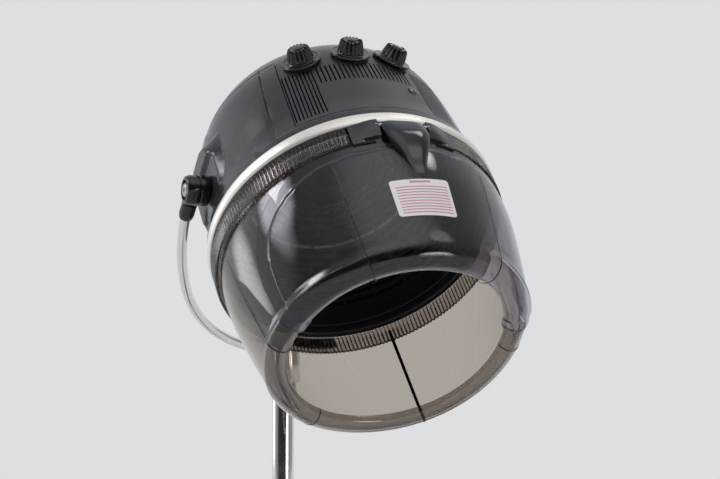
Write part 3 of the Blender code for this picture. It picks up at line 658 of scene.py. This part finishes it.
def shell_point(angle, r, z):
    """Point on the housing's outside, with its seams, its creases and the flat pivot bosses."""
    turn = abs((angle + 180) % 360 - 180)
    rise = boss_rise(angle, z)
    if 56 < z < 196:
        line = 46.2 - (z - 160) * 0.006 if turn < 90 else 133.8
        rise += groove(radians(turn - line) * r)
    if turn > PANEL_HALF:
        rise += groove(z - 192.0, 1.0, 1.0)
    x, y, _ = around(angle, r + rise, z)
    boost = max(0.0, 1 - (y / 46) ** 2) * max(0.0, 1 - ((z - 112) / 41) ** 2)
    if boost:
        limit = 162.5 + 5.0 * ease((z - 115) / 9)
        out = min(limit, abs(x) + 30 * boost)
        if out > abs(x):
            mild = ease((out - abs(x)) / 3.0)
            x = float(np.sign(x)) * (abs(x) + (out - abs(x)) * mild)
    return (x, y, z)


rows = shell_path[::-1]
extra = []
for (r0, z0), (r1, z1) in zip(rows, rows[1:]):
    extra.append((r0, z0))
    if abs(z1 - z0) > 3.0:
        extra.append(((r0 + r1) / 2, (z0 + z1) / 2))
extra.append(tuple(rows[-1]))
fixed = [PANEL_HIGH, PANEL_LOW, 193.0, 192.6, 192.0, 191.4, 191.0]
heights = sorted({round(z, 4) for _, z in extra} | set(fixed), reverse=True)
heights = [z for k, z in enumerate(heights) if z in fixed or all(abs(z - f) > 0.35 for f in fixed)]
path = [(shell_r(z), z) for z in heights]
path[0] = (0.0, SHELL_TOP)
inside = offset(path, -SHELL_WALL)
inside[0] = (0.0, SHELL_TOP - SHELL_WALL)
seams = (PANEL_HALF, 45.6, 45.9, 46.2, 46.5, 46.8, 133.2, 133.5, 133.8, 134.1, 134.4)
turns = {round(s * a % 360, 3) for s in (-1, 1) for a in seams}
turns = sorted(turns | set(np.round(np.arange(0, 360, 1.5), 3)))
outer = [[shell_point(a, r, z) for r, z in path] for a in turns]
inner = [[around(a, r, z) for r, z in inside] for a in turns]
zs = [z for _, z in path]
high_row, low_row = zs.index(PANEL_HIGH), zs.index(PANEL_LOW)


def housing_cell(i, j):
    """The housing is open where the slotted panel sits."""
    a = (turns[i] + 0.01 + 180) % 360 - 180
    return not (-PANEL_HALF < a < PANEL_HALF and high_row <= j < low_row)


make(
    "housing_shell", sheet(outer, inner, housing_cell, wrap=True, pole=True), look_housing, "head",
    replaces=["top_shell"], sharp=38,
)

# slotted front panel
LONG_PITCH, LONG_OPEN = 1.56, 0.56
SHORT_PITCH, SHORT_OPEN = 1.96, 0.62
longs = [s * (24.4 + LONG_PITCH * k) for s in (-1, 1) for k in range(9)]
longs = [a for a in longs if a > 0] + [a + 1.2 for a in longs if a < 0] + [-24.4 + 2.7]
shorts = [22.0 - SHORT_PITCH * k for k in range(21)]
slots = [(a - LONG_OPEN / 2, a + LONG_OPEN / 2, "long") for a in longs]
slots += [(a - SHORT_OPEN / 2, a + SHORT_OPEN / 2, "short") for a in shorts]
edge = PANEL_HALF - 0.42
bounds_at = sorted({-edge, edge} | {round(a, 4) for s in slots for a in s[:2]})
columns = []
for a, b in zip(bounds_at, bounds_at[1:]):
    parts = max(1, int((b - a) / 0.8))
    columns += [a + (b - a) * k / parts for k in range(parts)]
columns.append(edge)
LONG_Z, SHORT_Z = (63.5, 151.0), (117.5, 150.0)
marks = {PANEL_HIGH - 0.6, PANEL_LOW + 0.6, *LONG_Z, *SHORT_Z, 62.3, 116.3} | set(range(68, 185, 6))
marks = sorted(marks, reverse=True)
outer = [[around(a, shell_r(z) + 0.25, z) for z in marks] for a in columns]
inner = [[around(a, shell_r(z) - SHELL_WALL, z) for z in marks] for a in columns]


def panel_cell(i, j):
    """The panel is open at its slots."""
    a, z = (columns[i] + columns[i + 1]) / 2, (marks[j] + marks[j + 1]) / 2
    for low, high, kind in slots:
        bottom, top = LONG_Z if kind == "long" else SHORT_Z
        if low < a < high and bottom < z < top:
            return False
    return True


make(
    "slotted_panel", sheet(outer, inner, panel_cell), look_panel, "head",
    replaces=["front_panel"], sharp=32, bevel=0.3,
)

LENS_ANGLE, LENS_Z = -16.5, 105.0
lens_frame = (
    HOOD @ Matrix.Translation(Vector(around(LENS_ANGLE, shell_r(LENS_Z), LENS_Z)) * MM)
    @ Matrix.Rotation(radians(-LENS_ANGLE), 4, "Z") @ Matrix.Rotation(pi / 2, 4, "X")
)
lens = [(0, -3.0), (4.6, -3.0)] + [(6.2 * cos(t), 0.6 + 2.0 * sin(t)) for t in np.linspace(0.0, pi / 2, 9)]
make("lamp_lens", revolved(lens, 40), look_lens, "head", lens_frame, ["pilot_lens"])

# cord gland at the back
gland_frame = HOOD @ Matrix.Translation((0, shell_r(105) * MM, 105 * MM)) @ Matrix.Rotation(-pi / 2, 4, "X")
gland = [(3.5, -14), (7.8, -14), (7.8, 1.6), (12, 1.6), (12, 4.4), (9.4, 5.4)]
for k in range(6):
    big, small, up = 8.8 - 0.45 * k, 7.4 - 0.4 * k, 2.8 * k
    gland += [(big, 6.0 + up), (big - 0.1, 7.9 + up), (small, 8.0 + up), (small - 0.1, 8.7 + up)]
gland += [(5.6, 22.9), (3.5, 22.9)]
make(
    "cord_gland", revolved(gland, 40, closed=True), look_matte, "head", gland_frame,
    ["cable_gland"],
)

# block behind the collar at the back
turns_back = np.linspace(167.5, 186.5, 15)
levels_back = (26.2, 25.6, 24.8, 20.0, 14.0, 11.2, 10.5)
lift = (3.6, 4.3, 4.9, 4.9, 4.9, 4.4, 3.2)
outer = [
    [around(a, 170.9 + up * (0.5 if k in (0, 14) else 1), z) for z, up in zip(levels_back, lift)]
    for k, a in enumerate(turns_back)
]
inner = [[around(a, 170.6, z) for z in levels_back] for a in turns_back]
make("back_clip", sheet(outer, inner), look_matte, "head", replaces=["rear_clip"], bevel=0.5)

# ---- hinge bracket, arm, sticker ----
def bracket_r(angle, z):
    """Outside of the bracket: ears beside the arm, faded into the collar lower down, and a pocket."""
    turn = abs(angle)
    ear = 4.6 * ease((20.0 - turn) / 9.5) * ease((z + 3.0) / 18.0)
    r = 170.0 + ear
    if turn < 9.45:
        r = 164.0
    wedge_low = -1.0 - 0.25 * (20 - turn)
    wedge_high = 3.2 - 0.12 * (turn - 9)
    if 9.45 <= turn < 17.5 and wedge_low < z < wedge_high:
        r -= 4.2 * ease((17.5 - turn) / 4.0)
    return r


bracket_turns = [-20.6, -20.3] + list(np.linspace(-20, -9.6, 24)) + [-9.3] + list(np.linspace(-8, 8, 9))
bracket_turns += [9.3] + list(np.linspace(9.6, 20, 24)) + [20.3, 20.6]
bracket_z = [26.2, 25.4, 23, 20, 16, 12, 9, 6.5, 4.5, 3.4, 2.8, 2.2, 1.5, 0.5, -0.6, -1.6, -2.4, -3.0]
outer = [[around(a, bracket_r(a, z), z) for z in bracket_z] for a in bracket_turns]
inner = [[around(a, 160.6, z) for z in bracket_z] for a in bracket_turns]
make(
    "hinge_block", sheet(outer, inner), look_housing, "head", replaces=["hinge_bracket"],
    sharp=40,
)

pin_at = HOOD @ moved(0, -170.0, 19.0) @ along(0)
pin = rounded([(0, -32), (2, -32), (2, 32), (0, 32)], 0.5)
make("hinge_pin", revolved(pin, 24), look_steel, "head", pin_at, ["visor_hinge_pin"])

ARM = (
    # outer height, outer radius, inner height, half width
    (24.6, 171.0, 24.6, 23.6), (22.6, 174.4, 22.4, 25.4), (18.0, 175.8, 18.0, 26.2),
    (10.0, 177.2, 12.0, 26.3), (2.0, 177.9, 6.0, 25.4), (-8.0, 177.2, -2.5, 22.8),
    (-19.0, 175.2, -15.0, 18.9), (-33.0, 171.6, -31.0, 14.0), (-46.0, 168.6, -45.5, 10.8),
    (-57.2, 165.0, -57.8, 9.3),
)
ARM_IN = (168.6, 165.5, 164.6, 164.6, 165.4, 166.6)  # inner radius of the arm's first rows
arm_rows = through(ARM, 6)
arm_in = np.interp(np.linspace(0, 5, 31), range(6), ARM_IN)
across = [sin(t) for t in np.linspace(-pi / 2, pi / 2, 29)]
outer, inner = [], []
for u in reversed(across):
    outer.append([])
    inner.append([])
    for j, (z_out, r_out, z_in, width) in enumerate(arm_rows):
        x = u * width
        crown = 4.6 * abs(u) ** 4.5 * min(1.0, 0.35 + j / 12)
        dip = 0.9 * (1 - abs(u) ** 2) * ease((j - 30) / 20)
        outer[-1].append((x, -(r_out - crown - dip), z_out))
        if j < 26:
            inner[-1].append((x, -float(arm_in[j]), z_in))
        else:
            lies = bowl_r(z_in) + PROUD + 0.9
            flat = sqrt(lies**2 - x**2)
            blend = ease((j - 26) / 6)
            inner[-1].append((x, -(165.6 * (1 - blend) + flat * blend), z_in))
make("visor_handle", sheet(outer, inner), look_black, "visor_door", replaces=["visor_arm"], sharp=45)

LABEL_RIGHT, LABEL_LEFT, LABEL_WIDE = -10.3, 13.5, 23.8  # in degrees
LABEL_LOW, LABEL_HIGH, LABEL_SLANT = -107.8, -62.3, 2.7  # its top edge slants
label_turns = np.linspace(LABEL_RIGHT, LABEL_LEFT, 25)
label_rows = 19
outer, inner = [], []
for i, a in enumerate(label_turns):
    outer.append([])
    inner.append([])
    top = LABEL_HIGH + (LABEL_LEFT - a) / LABEL_WIDE * LABEL_SLANT
    for j in range(label_rows):
        z = top + (LABEL_LOW - top) * j / (label_rows - 1)
        near = min(i, len(label_turns) - 1 - i), min(j, label_rows - 1 - j)
        lie = bowl_r(z) + PROUD + 1.0
        turn = a
        if near == (0, 0):
            turn += 0.35 if i == 0 else -0.35
            z += -0.9 if j == 0 else 0.9
        outer[-1].append(around(turn, lie + 0.30, z))
        inner[-1].append(around(turn, lie + 0.06, z))
sticker = make("sticker", sheet(outer, inner), look_label, "visor_door", replaces=["visor_label"])
layer = sticker.data.uv_layers.new(name="sticker")
places, turned = hood_places(sticker)
for loop in sticker.data.loops:
    across_at = (LABEL_LEFT - turned[loop.vertex_index]) / LABEL_WIDE
    height = places[loop.vertex_index, 2] - LABEL_LOW
    layer.data[loop.index].uv = (across_at, height / (46.0 + LABEL_SLANT * across_at))

# ---- knobs ----
FINS = 16
knob_path = rounded(
    [(0, -7.5), (4.0, -7.5), (4.0, 0.9), (22.4, 0.9), (23.2, 1.6), (23.2, 3.0), (21.6, 3.9), (19.8, 3.2),
     (16.4, 3.4), (15.2, 4.6), (14.4, 9.0), (13.4, 13.6), (12.2, 17.0), (9.6, 18.6), (6.6, 18.2), (6.0, 19.6),
     (2.0, 19.9), (0, 19.9)],
    0.8, 3,
)


def fluted(a, r, z):
    """Flutes around the knob between its skirt and its cap."""
    if 5.2 < z < 18.3 and r > 9.0:
        wave = (0.5 + 0.5 * cos(FINS * a)) ** 0.8
        depth = 2.3 * ease((z - 4.6) / 1.6)
        return r + 0.5 - depth * (1 - wave), z + (0.8 * wave if z > 15 else 0)
    return r, z


fine_knob = []
for (r0, z0), (r1, z1) in zip(knob_path, knob_path[1:]):
    parts = max(1, int(hypot(r1 - r0, z1 - z0) / 1.2))
    fine_knob += [(r0 + (r1 - r0) * k / parts, z0 + (z1 - z0) * k / parts) for k in range(parts)]
fine_knob.append((0.0, 19.9))
for name in ("timer", "temperature", "speed"):
    joint = joints[name + "_turn"]
    out = -Vector(joint["axis"]).normalized()
    across_x = UP.cross(out).normalized()
    turn = Matrix((across_x, out.cross(across_x), out)).transposed().to_4x4()
    at = Matrix.Translation(joint["pos_m"]) @ turn
    make(
        name + "_dial", revolved(fine_knob, 160, change=fluted), look_black, name, at,
        [name + "_knob"], sharp=55,
    )
    ridge = [(7.4, 17.9), (11.9, 17.3), (12.9, 16.0), (11.6, 19.6), (7.6, 20.1)]
    fin = [[(x, y, z) for x, z in ridge] for y in (-0.9, 0.9)]
    make(name + "_pointer", lofted(fin), look_black, name, at, bevel=0.3)

# ---- inner dome and what is behind it ----
DOME = (
    (24, 141), (38, 140.3), (52, 138.8), (66, 136.2), (82, 132.4), (94, 127.8), (106, 122.8),
    (116, 117), (127, 109.3), (135, 101.3), (144, 89.5), (151, 74), (155.4, 58), (157.2, 44),
)
dome_path = through(DOME, 6)
tail = [
    (157.4, 42.0), (155.6, 41.0), (155.8, 34.0), (157.6, 33.2), (157.8, 29.0), (156.2, 28.2), (156.6, 21.6),
    (158.8, 20.6), (159.2, 18.0),
]
dome_rows = np.array(dome_path.tolist() + tail)
DOME_WALL = 2.2
shift = offset(dome_rows, -DOME_WALL)
upright = len(dome_path) - 2
shift[upright:, 0] = dome_rows[upright:, 0] - DOME_WALL
shift[upright:, 1] = dome_rows[upright:, 1]
RIB_COUNT = 24
RIB_WIDE = 1.3  # degrees
rib_pitch = 360 / RIB_COUNT
dome_turns = []
for k in range(RIB_COUNT):
    start = rib_pitch * k
    open_from = start + RIB_WIDE
    dome_turns += [start, open_from] + [open_from + (rib_pitch - RIB_WIDE) * m / 5 for m in range(1, 5)]
outer = [[around(a, r, z) for r, z in dome_rows] for a in dome_turns]
inner = [[around(a, r, z) for r, z in shift] for a in dome_turns]
open_rows = {j for j in range(3, len(dome_path) - 8) if j % 4 in (0, 1)}


def dome_cell(i, j):
    """The dome is open in its slot rows, except at the ribs."""
    return j not in open_rows or i % 6 == 0


make(
    "air_dome", sheet(outer, inner, dome_cell, wrap=True), look_dome, "head",
    replaces=["inner_bowl"], sharp=40,
)

# nodes that keep their CAD shape take these materials
for node, look in (
    ("fan_housing", look_steel), ("fan_motor", look_steel), ("heater_frame", look_mica),
    ("heater_coil", look_steel), ("thermostat", look_steel), ("timer_body", look_matte),
    ("temperature_switch", look_matte), ("speed_switch", look_matte), ("fan_impeller", look_matte),
    ("column_bush", look_matte),
):
    slots_of = frame["nodes"][node].data.materials
    slots_of.clear()
    slots_of.append(look)

# ---- yoke ----
ARM_X = 179.5  # the yoke's arms stand this far to each side of the hood's middle
yoke_half = (
    (0.0, 266.0), (22.0, 266.0), (45.0, 262.2), (70.0, 252.6), (86.0, 243.2), (105.4, 228.7), (125.0, 207.6),
    (141.0, 183.8), (154.0, 156.6), (166.5, 119.0), (175.5, 76.5), (ARM_X, 44.0), (ARM_X, 22.4),
)
line = [(x, 0.0, -u) for x, u in yoke_half]
line = [(-x, 0.0, z) for x, _, z in reversed(line[1:])] + line
make("yoke_bow", swept(through(line, 8), 6.0, 40), look_chrome, "yoke", YOKE, ["yoke_tube"])

hub = rounded(
    [(0, -10), (14.3, -10), (14.3, -46), (19, -46), (20, -43), (20, 11), (17, 14.2), (0, 14.2)],
    2.0,
)
make("yoke_block", revolved(hub, 72), look_chrome, "yoke", HUB, ["yoke_hub"])
BOSS = 162.9  # the barrels begin this far from the hood's middle
barrel = rounded(
    [(4.6, 0.2), (15.6, 0.2), (17.4, 1.6), (17.6, 10.5), (16.9, 11.2), (16.9, 12.4), (17.6, 13.2),
     (17.4, 22.5), (15.6, 26.6), (12.8, 27.4), (11.4, 27.2), (11.4, 23.8), (4.6, 23.8)],
    1.6, 4,
)
bolt = rounded([(0, 0), (4, 0), (4, 36.7), (8, 36.7), (8, 39.6), (6.8, 40.6), (0, 40.6)], 0.5)
socket = rounded(
    [(0, 0), (9.0, 0), (9.2, 4), (8.9, 5.0), (9.0, 18.0), (8.0, 24.0), (6.35, 24.6), (6.35, 5.0), (0, 5.0)],
    0.8,
)
for name, sign in (("left", -1), ("right", 1)):
    out = YOKE @ along(sign * BOSS, sign)
    make(
        name + "_barrel", revolved(barrel, 72, closed=True), look_black, "yoke", out,
        [name + "_pivot_barrel"],
    )
    bolt_at = YOKE @ along(sign * 150.0, sign)
    make(name + "_bolt", revolved(bolt, 48), look_steel, "yoke", bolt_at, [name + "_pivot_bolt"])
    # a thin dark hexagon on the bolt's flat head is painted shade standing in for the hollow of its hex
    # socket
    hexagon = [(3.0 * cos(k * pi / 3), 3.0 * sin(k * pi / 3)) for k in range(6)]
    key = lofted([[(x, y, z) for x, y in hexagon] for z in (40.55, 40.72)])
    make(name + "_bolt_socket_shade", key, look_line, "yoke", bolt_at)
    down = YOKE @ moved(sign * ARM_X, 0, -17.2) @ Matrix.Rotation(pi, 4, "X")
    make(name + "_socket", revolved(socket, 48), look_black, "yoke", down, [name + "_yoke_socket"])

# ---- column ----
hub_z = pole.z / MM


def tube(r_in, r_out, low, high):
    """Profile of a pipe with broken edges."""
    return rounded(
        [(r_in, low + 0.4), (r_in + 0.4, low), (r_out - 0.5, low), (r_out, low + 0.5), (r_out, high - 0.5),
         (r_out - 0.5, high), (r_in + 0.4, high), (r_in, high - 0.4)],
        0.3, 2,
    )


inner_tube = revolved(tube(12.5, 14.0, 300, hub_z - 10.4), 72, closed=True)
make("inner_pole", inner_tube, look_chrome, "column", POLE, ["inner_column"])
outer_tube = revolved(tube(17.0, 19.0, 85.3, 640), 72, closed=True)
make("outer_pole", outer_tube, look_chrome, "base", POLE, ["outer_column"])


def grip_change(a, r, z):
    """Shallow flutes around the middle of the grip."""
    if r > 25.5 and 606 < z < 648:
        return r - 0.8 * (0.5 - 0.5 * cos(36 * a)), z
    return r, z


grip = rounded(
    [(19.3, 600), (25.4, 600), (27, 604), (27, 606), (27, 615), (27, 630), (27, 648), (27, 650), (27, 662),
     (24, 668), (14.4, 668), (14.4, 640.4), (19.3, 640.4)],
    1.0,
)
make(
    "height_grip", revolved(grip, 216, grip_change, closed=True), look_black, "base", POLE,
    ["height_collar"], sharp=50,
)
screw = POLE @ moved(0, 0, 655) @ Matrix.Rotation(-pi / 2, 4, "X")


def lobes(a, r, z):
    """Five hollows around the head of the clamp screw."""
    if r > 12.5 and z > 27:
        return r * (1 - 0.16 * (0.5 + 0.5 * cos(5 * a)) ** 2), z
    return r, z


clamp = rounded(
    [(0, 14.6), (4, 14.6), (4, 28.5), (12, 28.5), (17, 31), (19, 34), (19, 42), (16, 45), (9, 46), (0, 46.2)],
    1.5,
)
make("clamp_grip", revolved(clamp, 120, lobes), look_black, "clamp", screw, ["clamp_knob"], sharp=50)

# ---- base ----
hub = rounded(
    [(0, 72), (38, 72), (45, 76), (46, 80), (46, 120), (43, 126), (38, 130), (30, 140), (25, 149),
     (22.5, 150.2), (19.3, 150), (19.3, 85), (0, 85)],
    2.5, 4,
)
make("base_boss", revolved(hub, 120), look_iron, "base", POLE, ["base_hub"])
LEG = (
    # x, half width, underside, top
    (45.6, 15, 84, 118), (90, 14.6, 81.5, 115.5), (140, 14, 78, 110), (185, 13.5, 73, 101.5),
    (225, 13, 67.5, 92), (244, 12.6, 66.2, 89.2), (252, 10.6, 66.8, 87.6), (255, 7.4, 69, 85.6),
)
LEG_SIDES = 28
wheel = rounded(
    [(4.05, -9.4), (7.5, -9.4), (8.2, -7.6), (15.8, -7.2), (17.4, -9.2), (20.0, -9.4), (24.0, -7.4),
     (25.0, -4.5), (25.0, 4.5), (24.0, 7.4), (20.0, 9.4), (17.4, 9.2), (15.8, 7.2), (8.2, 7.6), (7.5, 9.4),
     (4.05, 9.4)],
    0.8, 3,
)
outline = through(
    [(-12, 41), (-8.5, 33), (3, 21.5), (11, 16.6), (17, 15.6), (23.5, 18.4), (26.5, 25), (27, 36), (27, 50),
     (25, 54)],
    3,
)
outline = [tuple(p) for p in outline] + [(-10.5, 54)]
neck = rounded([(0, 60), (9.5, 60), (9.5, 65.6), (5.0, 65.7), (5.0, 83.0), (0, 83.0)], 0.4)
pin = rounded(
    [(0, -16.0), (5.2, -16.0), (5.2, -15.0), (3.9, -14.8), (3.9, 14.8), (5.2, 15.0), (5.2, 16.0), (0, 16.0)],
    0.3,
)


def tread(a, r, z):
    """Grooves around the tyre."""
    return (r - 0.5 * (0.5 + 0.5 * cos(2 * pi * z / 4.5)) * (abs(z) < 7) * (r > 24.2), z)


for i in range(1, 6):
    stem = joints[f"castor_{i}_swivel"]["pos_m"]
    outward = Vector((stem[0] - pole.x, stem[1] - pole.y, 0)).normalized()
    turn = Matrix((outward, UP.cross(outward), UP)).transposed().to_4x4()
    at = Matrix.Translation((pole.x, pole.y, 0)) @ turn
    sections = []
    for x, w, low, high in through(LEG, 4):
        section = []
        for k in range(LEG_SIDES):
            a = 2 * pi * (k + 0.5) / LEG_SIDES
            c, s = cos(a), sin(a)
            reach_y = w * np.sign(c) * abs(c) ** 0.42
            middle, tall = (low + high) / 2, (high - low) / 2
            section.append((x, reach_y, middle + tall * np.sign(s) * abs(s) ** 0.42))
        sections.append(section)
    make(f"leg_{i}", lofted(sections), look_black, "base", at, [f"base_leg_{i}"], sharp=50)
    place = Vector(joints[f"castor_{i}_roll"]["pos_m"])
    trail = Vector((place.x - stem[0], place.y - stem[1], 0)).normalized()
    axle = trail.cross(UP)
    spin = Matrix((axle, trail, UP)).transposed().to_4x4()
    swivel = Matrix.Translation((stem[0], stem[1], 0)) @ spin
    cheeks = []
    for low, high in ((-15.0, -12.0), (12.0, 15.0)):
        ring_low = [(low, y, z) for y, z in outline]
        ring_high = [(high, y, z) for y, z in outline]
        cheeks.append(lofted([ring_low, ring_high]))
    crown = lofted([
        [(x * k, y * k + 7.5 * (1 - k), z) for x, y in ((-15, -12), (15, -12), (15, 27), (-15, 27))]
        for z, k in ((52.5, 1.0), (62.0, 1.0), (65.2, 0.86))
    ])
    make(
        f"fork_{i}", joined(*cheeks, crown), look_black, f"castor_{i}", swivel,
        [f"castor_fork_{i}"], bevel=0.7,
    )
    stem_at = Matrix.Translation((stem[0], stem[1], 0))
    make(f"stem_{i}", revolved(neck, 40), look_steel, f"castor_{i}", stem_at)
    hub_at = Matrix.Translation(place) @ spin @ Matrix.Rotation(pi / 2, 4, "Y")
    make(f"axle_{i}", revolved(pin, 32), look_steel, f"castor_{i}", hub_at)
    make(
        f"wheel_{i}_tyre", revolved(wheel, 96, tread, closed=True), look_rubber, f"wheel_{i}",
        hub_at, [f"castor_wheel_{i}"],
    )

# ---- stage, light, camera ----
PALE = (0.725, 0.735, 0.745)


def stage_floor():
    """Round pale floor that fades into the backdrop's colour far from the object."""
    rings = [0, 0.3, 0.6, 1.0, 1.6, 2.4, 3.4, 5, 7, 10, 15, 25, 45]
    verts, faces = revolved([(0.0, 0.0)] + [(r * 1000, 0.0) for r in rings[1:]], 96)
    data = bpy.data.meshes.new("floor")
    data.from_pydata((np.array(verts) * MM - (0, 0, 0.0005)).tolist(), [], faces)
    floor = linked("floor", data)
    mat, tree, shader = material("floor_paper")
    shader.inputs["Base Color"].default_value = (0.80, 0.81, 0.82, 1)
    shader.inputs["Roughness"].default_value = 0.7
    shader.inputs["Specular IOR Level"].default_value = 0.15
    glow = add(tree, "Emission", {"Color": (*PALE, 1)})
    length = add(tree, "VectorMath", {0: add(tree, "TexCoord").outputs["Object"]}, operation="LENGTH")
    fade = add(tree, "MapRange", {
        "Value": length.outputs["Value"], "From Min": 1.4, "From Max": 6.0,
    }, interpolation_type="SMOOTHSTEP")
    blend_surface(tree, fade.outputs["Result"], shader, glow)
    data.materials.append(mat)


stage_floor()

CAMERA_AZ, CAMERA_EL = -22.8548, -3.5
CAMERA_FROM = Vector((-3.89911, -9.21206, -0.52261)) * HOOD_RADIUS * MM
# Soft lobes of light: azimuth, elevation, outer and inner half angle, strength
LOBES = (
    (-128, 12, 34, 10, 0.55), (-112, 33, 15, 7, 5.0), (-137, 2, 13, 2, 2.8), (93, 60, 7, 3, 6.0),
    (-5, 64, 34, 8, 0.85), (44, 49, 10, 4, 1.3), (23, 0, 12, 5, 7.0),
)


def heading(azimuth, elevation):
    """Unit vector towards this azimuth and elevation; azimuth 0 is the front."""
    a, e = radians(azimuth), radians(elevation)
    return Vector((sin(a) * cos(e), -cos(a) * cos(e), sin(e)))


def studio_world():
    """Pale light tent that is darker behind the camera, with soft lobes of light."""
    world = bpy.data.worlds.new("studio")
    bpy.context.scene.world = world
    world.use_nodes = True
    tree = world.node_tree
    way = add(tree, "TexCoord").outputs["Generated"]

    def math(kind, a, b):
        """Result of a math node."""
        return add(tree, "Math", {0: a, 1: b}, operation=kind).outputs[0]

    def span_of(value, low, high, to_low, to_high):
        """The value's smooth run from low to high, as a run from to_low to to_high."""
        limits = {"From Min": low, "From Max": high, "To Min": to_low, "To Max": to_high}
        node = add(tree, "MapRange", {"Value": value, **limits}, interpolation_type="SMOOTHSTEP")
        return node.outputs["Result"]

    def towards(azimuth, elevation):
        """Cosine of the angle between the ray and this heading."""
        values = {0: way, 1: heading(azimuth, elevation)}
        return add(tree, "VectorMath", values, operation="DOT_PRODUCT").outputs["Value"]

    facing = towards(CAMERA_AZ, -4)
    up = add(tree, "SeparateXYZ", {0: way}).outputs["Z"]
    room = span_of(facing, cos(radians(66)), cos(radians(38)), 0.30, 0.03)
    paper = span_of(facing, -0.1, -0.85, 0.0, 0.46)
    overhead = span_of(up, 0.35, 1.0, 0.0, 0.28)
    strength = math("ADD", math("ADD", room, paper), overhead)
    for azimuth, elevation, wide, narrow, level in LOBES:
        lobe = span_of(towards(azimuth, elevation), cos(radians(wide)), cos(radians(narrow)), 0.0, level)
        strength = math("ADD", strength, lobe)
    ray = add(tree, "LightPath")
    onward = math("MULTIPLY", ray.outputs["Is Transmission Ray"], span_of(facing, -0.45, -0.75, 0.0, 1.0))
    straight = math("MAXIMUM", ray.outputs["Is Camera Ray"], onward)
    back = tree.nodes["Background"]
    tree.links.new(mixed(tree, straight, strength, 1.0, "FLOAT"), back.inputs["Strength"])
    tint = mixed(tree, straight, (0.92, 0.935, 1.0, 1), (*PALE, 1))
    tree.links.new(tint, back.inputs["Color"])


studio_world()


def softbox(name, azimuth, elevation, distance, width, height, power):
    """Rectangular lamp that looks at the hood from this heading."""
    way = heading(azimuth, elevation)
    data = bpy.data.lights.new(name, "AREA")
    data.shape = "RECTANGLE"
    data.size, data.size_y = width, height
    data.energy = power
    data.color = (0.96, 0.98, 1.0)
    lamp = linked(name, data)
    lamp.location = HOOD.translation + way * distance
    lamp.rotation_mode = "QUATERNION"
    lamp.rotation_quaternion = way.to_track_quat("Z", "Y")


softbox("left_window", -113, 38, 2.6, 0.45, 0.45, 4)

camera_data = bpy.data.cameras.new("camera")
camera_data.sensor_width = 36.0
camera_data.lens = 75.0
camera_data.clip_start, camera_data.clip_end = 0.05, 120.0
camera = linked("camera", camera_data)
camera.rotation_mode = "QUATERNION"
camera.location = HOOD.translation + CAMERA_FROM
camera.rotation_quaternion = heading(CAMERA_AZ, CAMERA_EL).to_track_quat("Z", "Y")
bpy.context.scene.camera = camera
bpy.context.scene.view_settings.view_transform = "Standard"
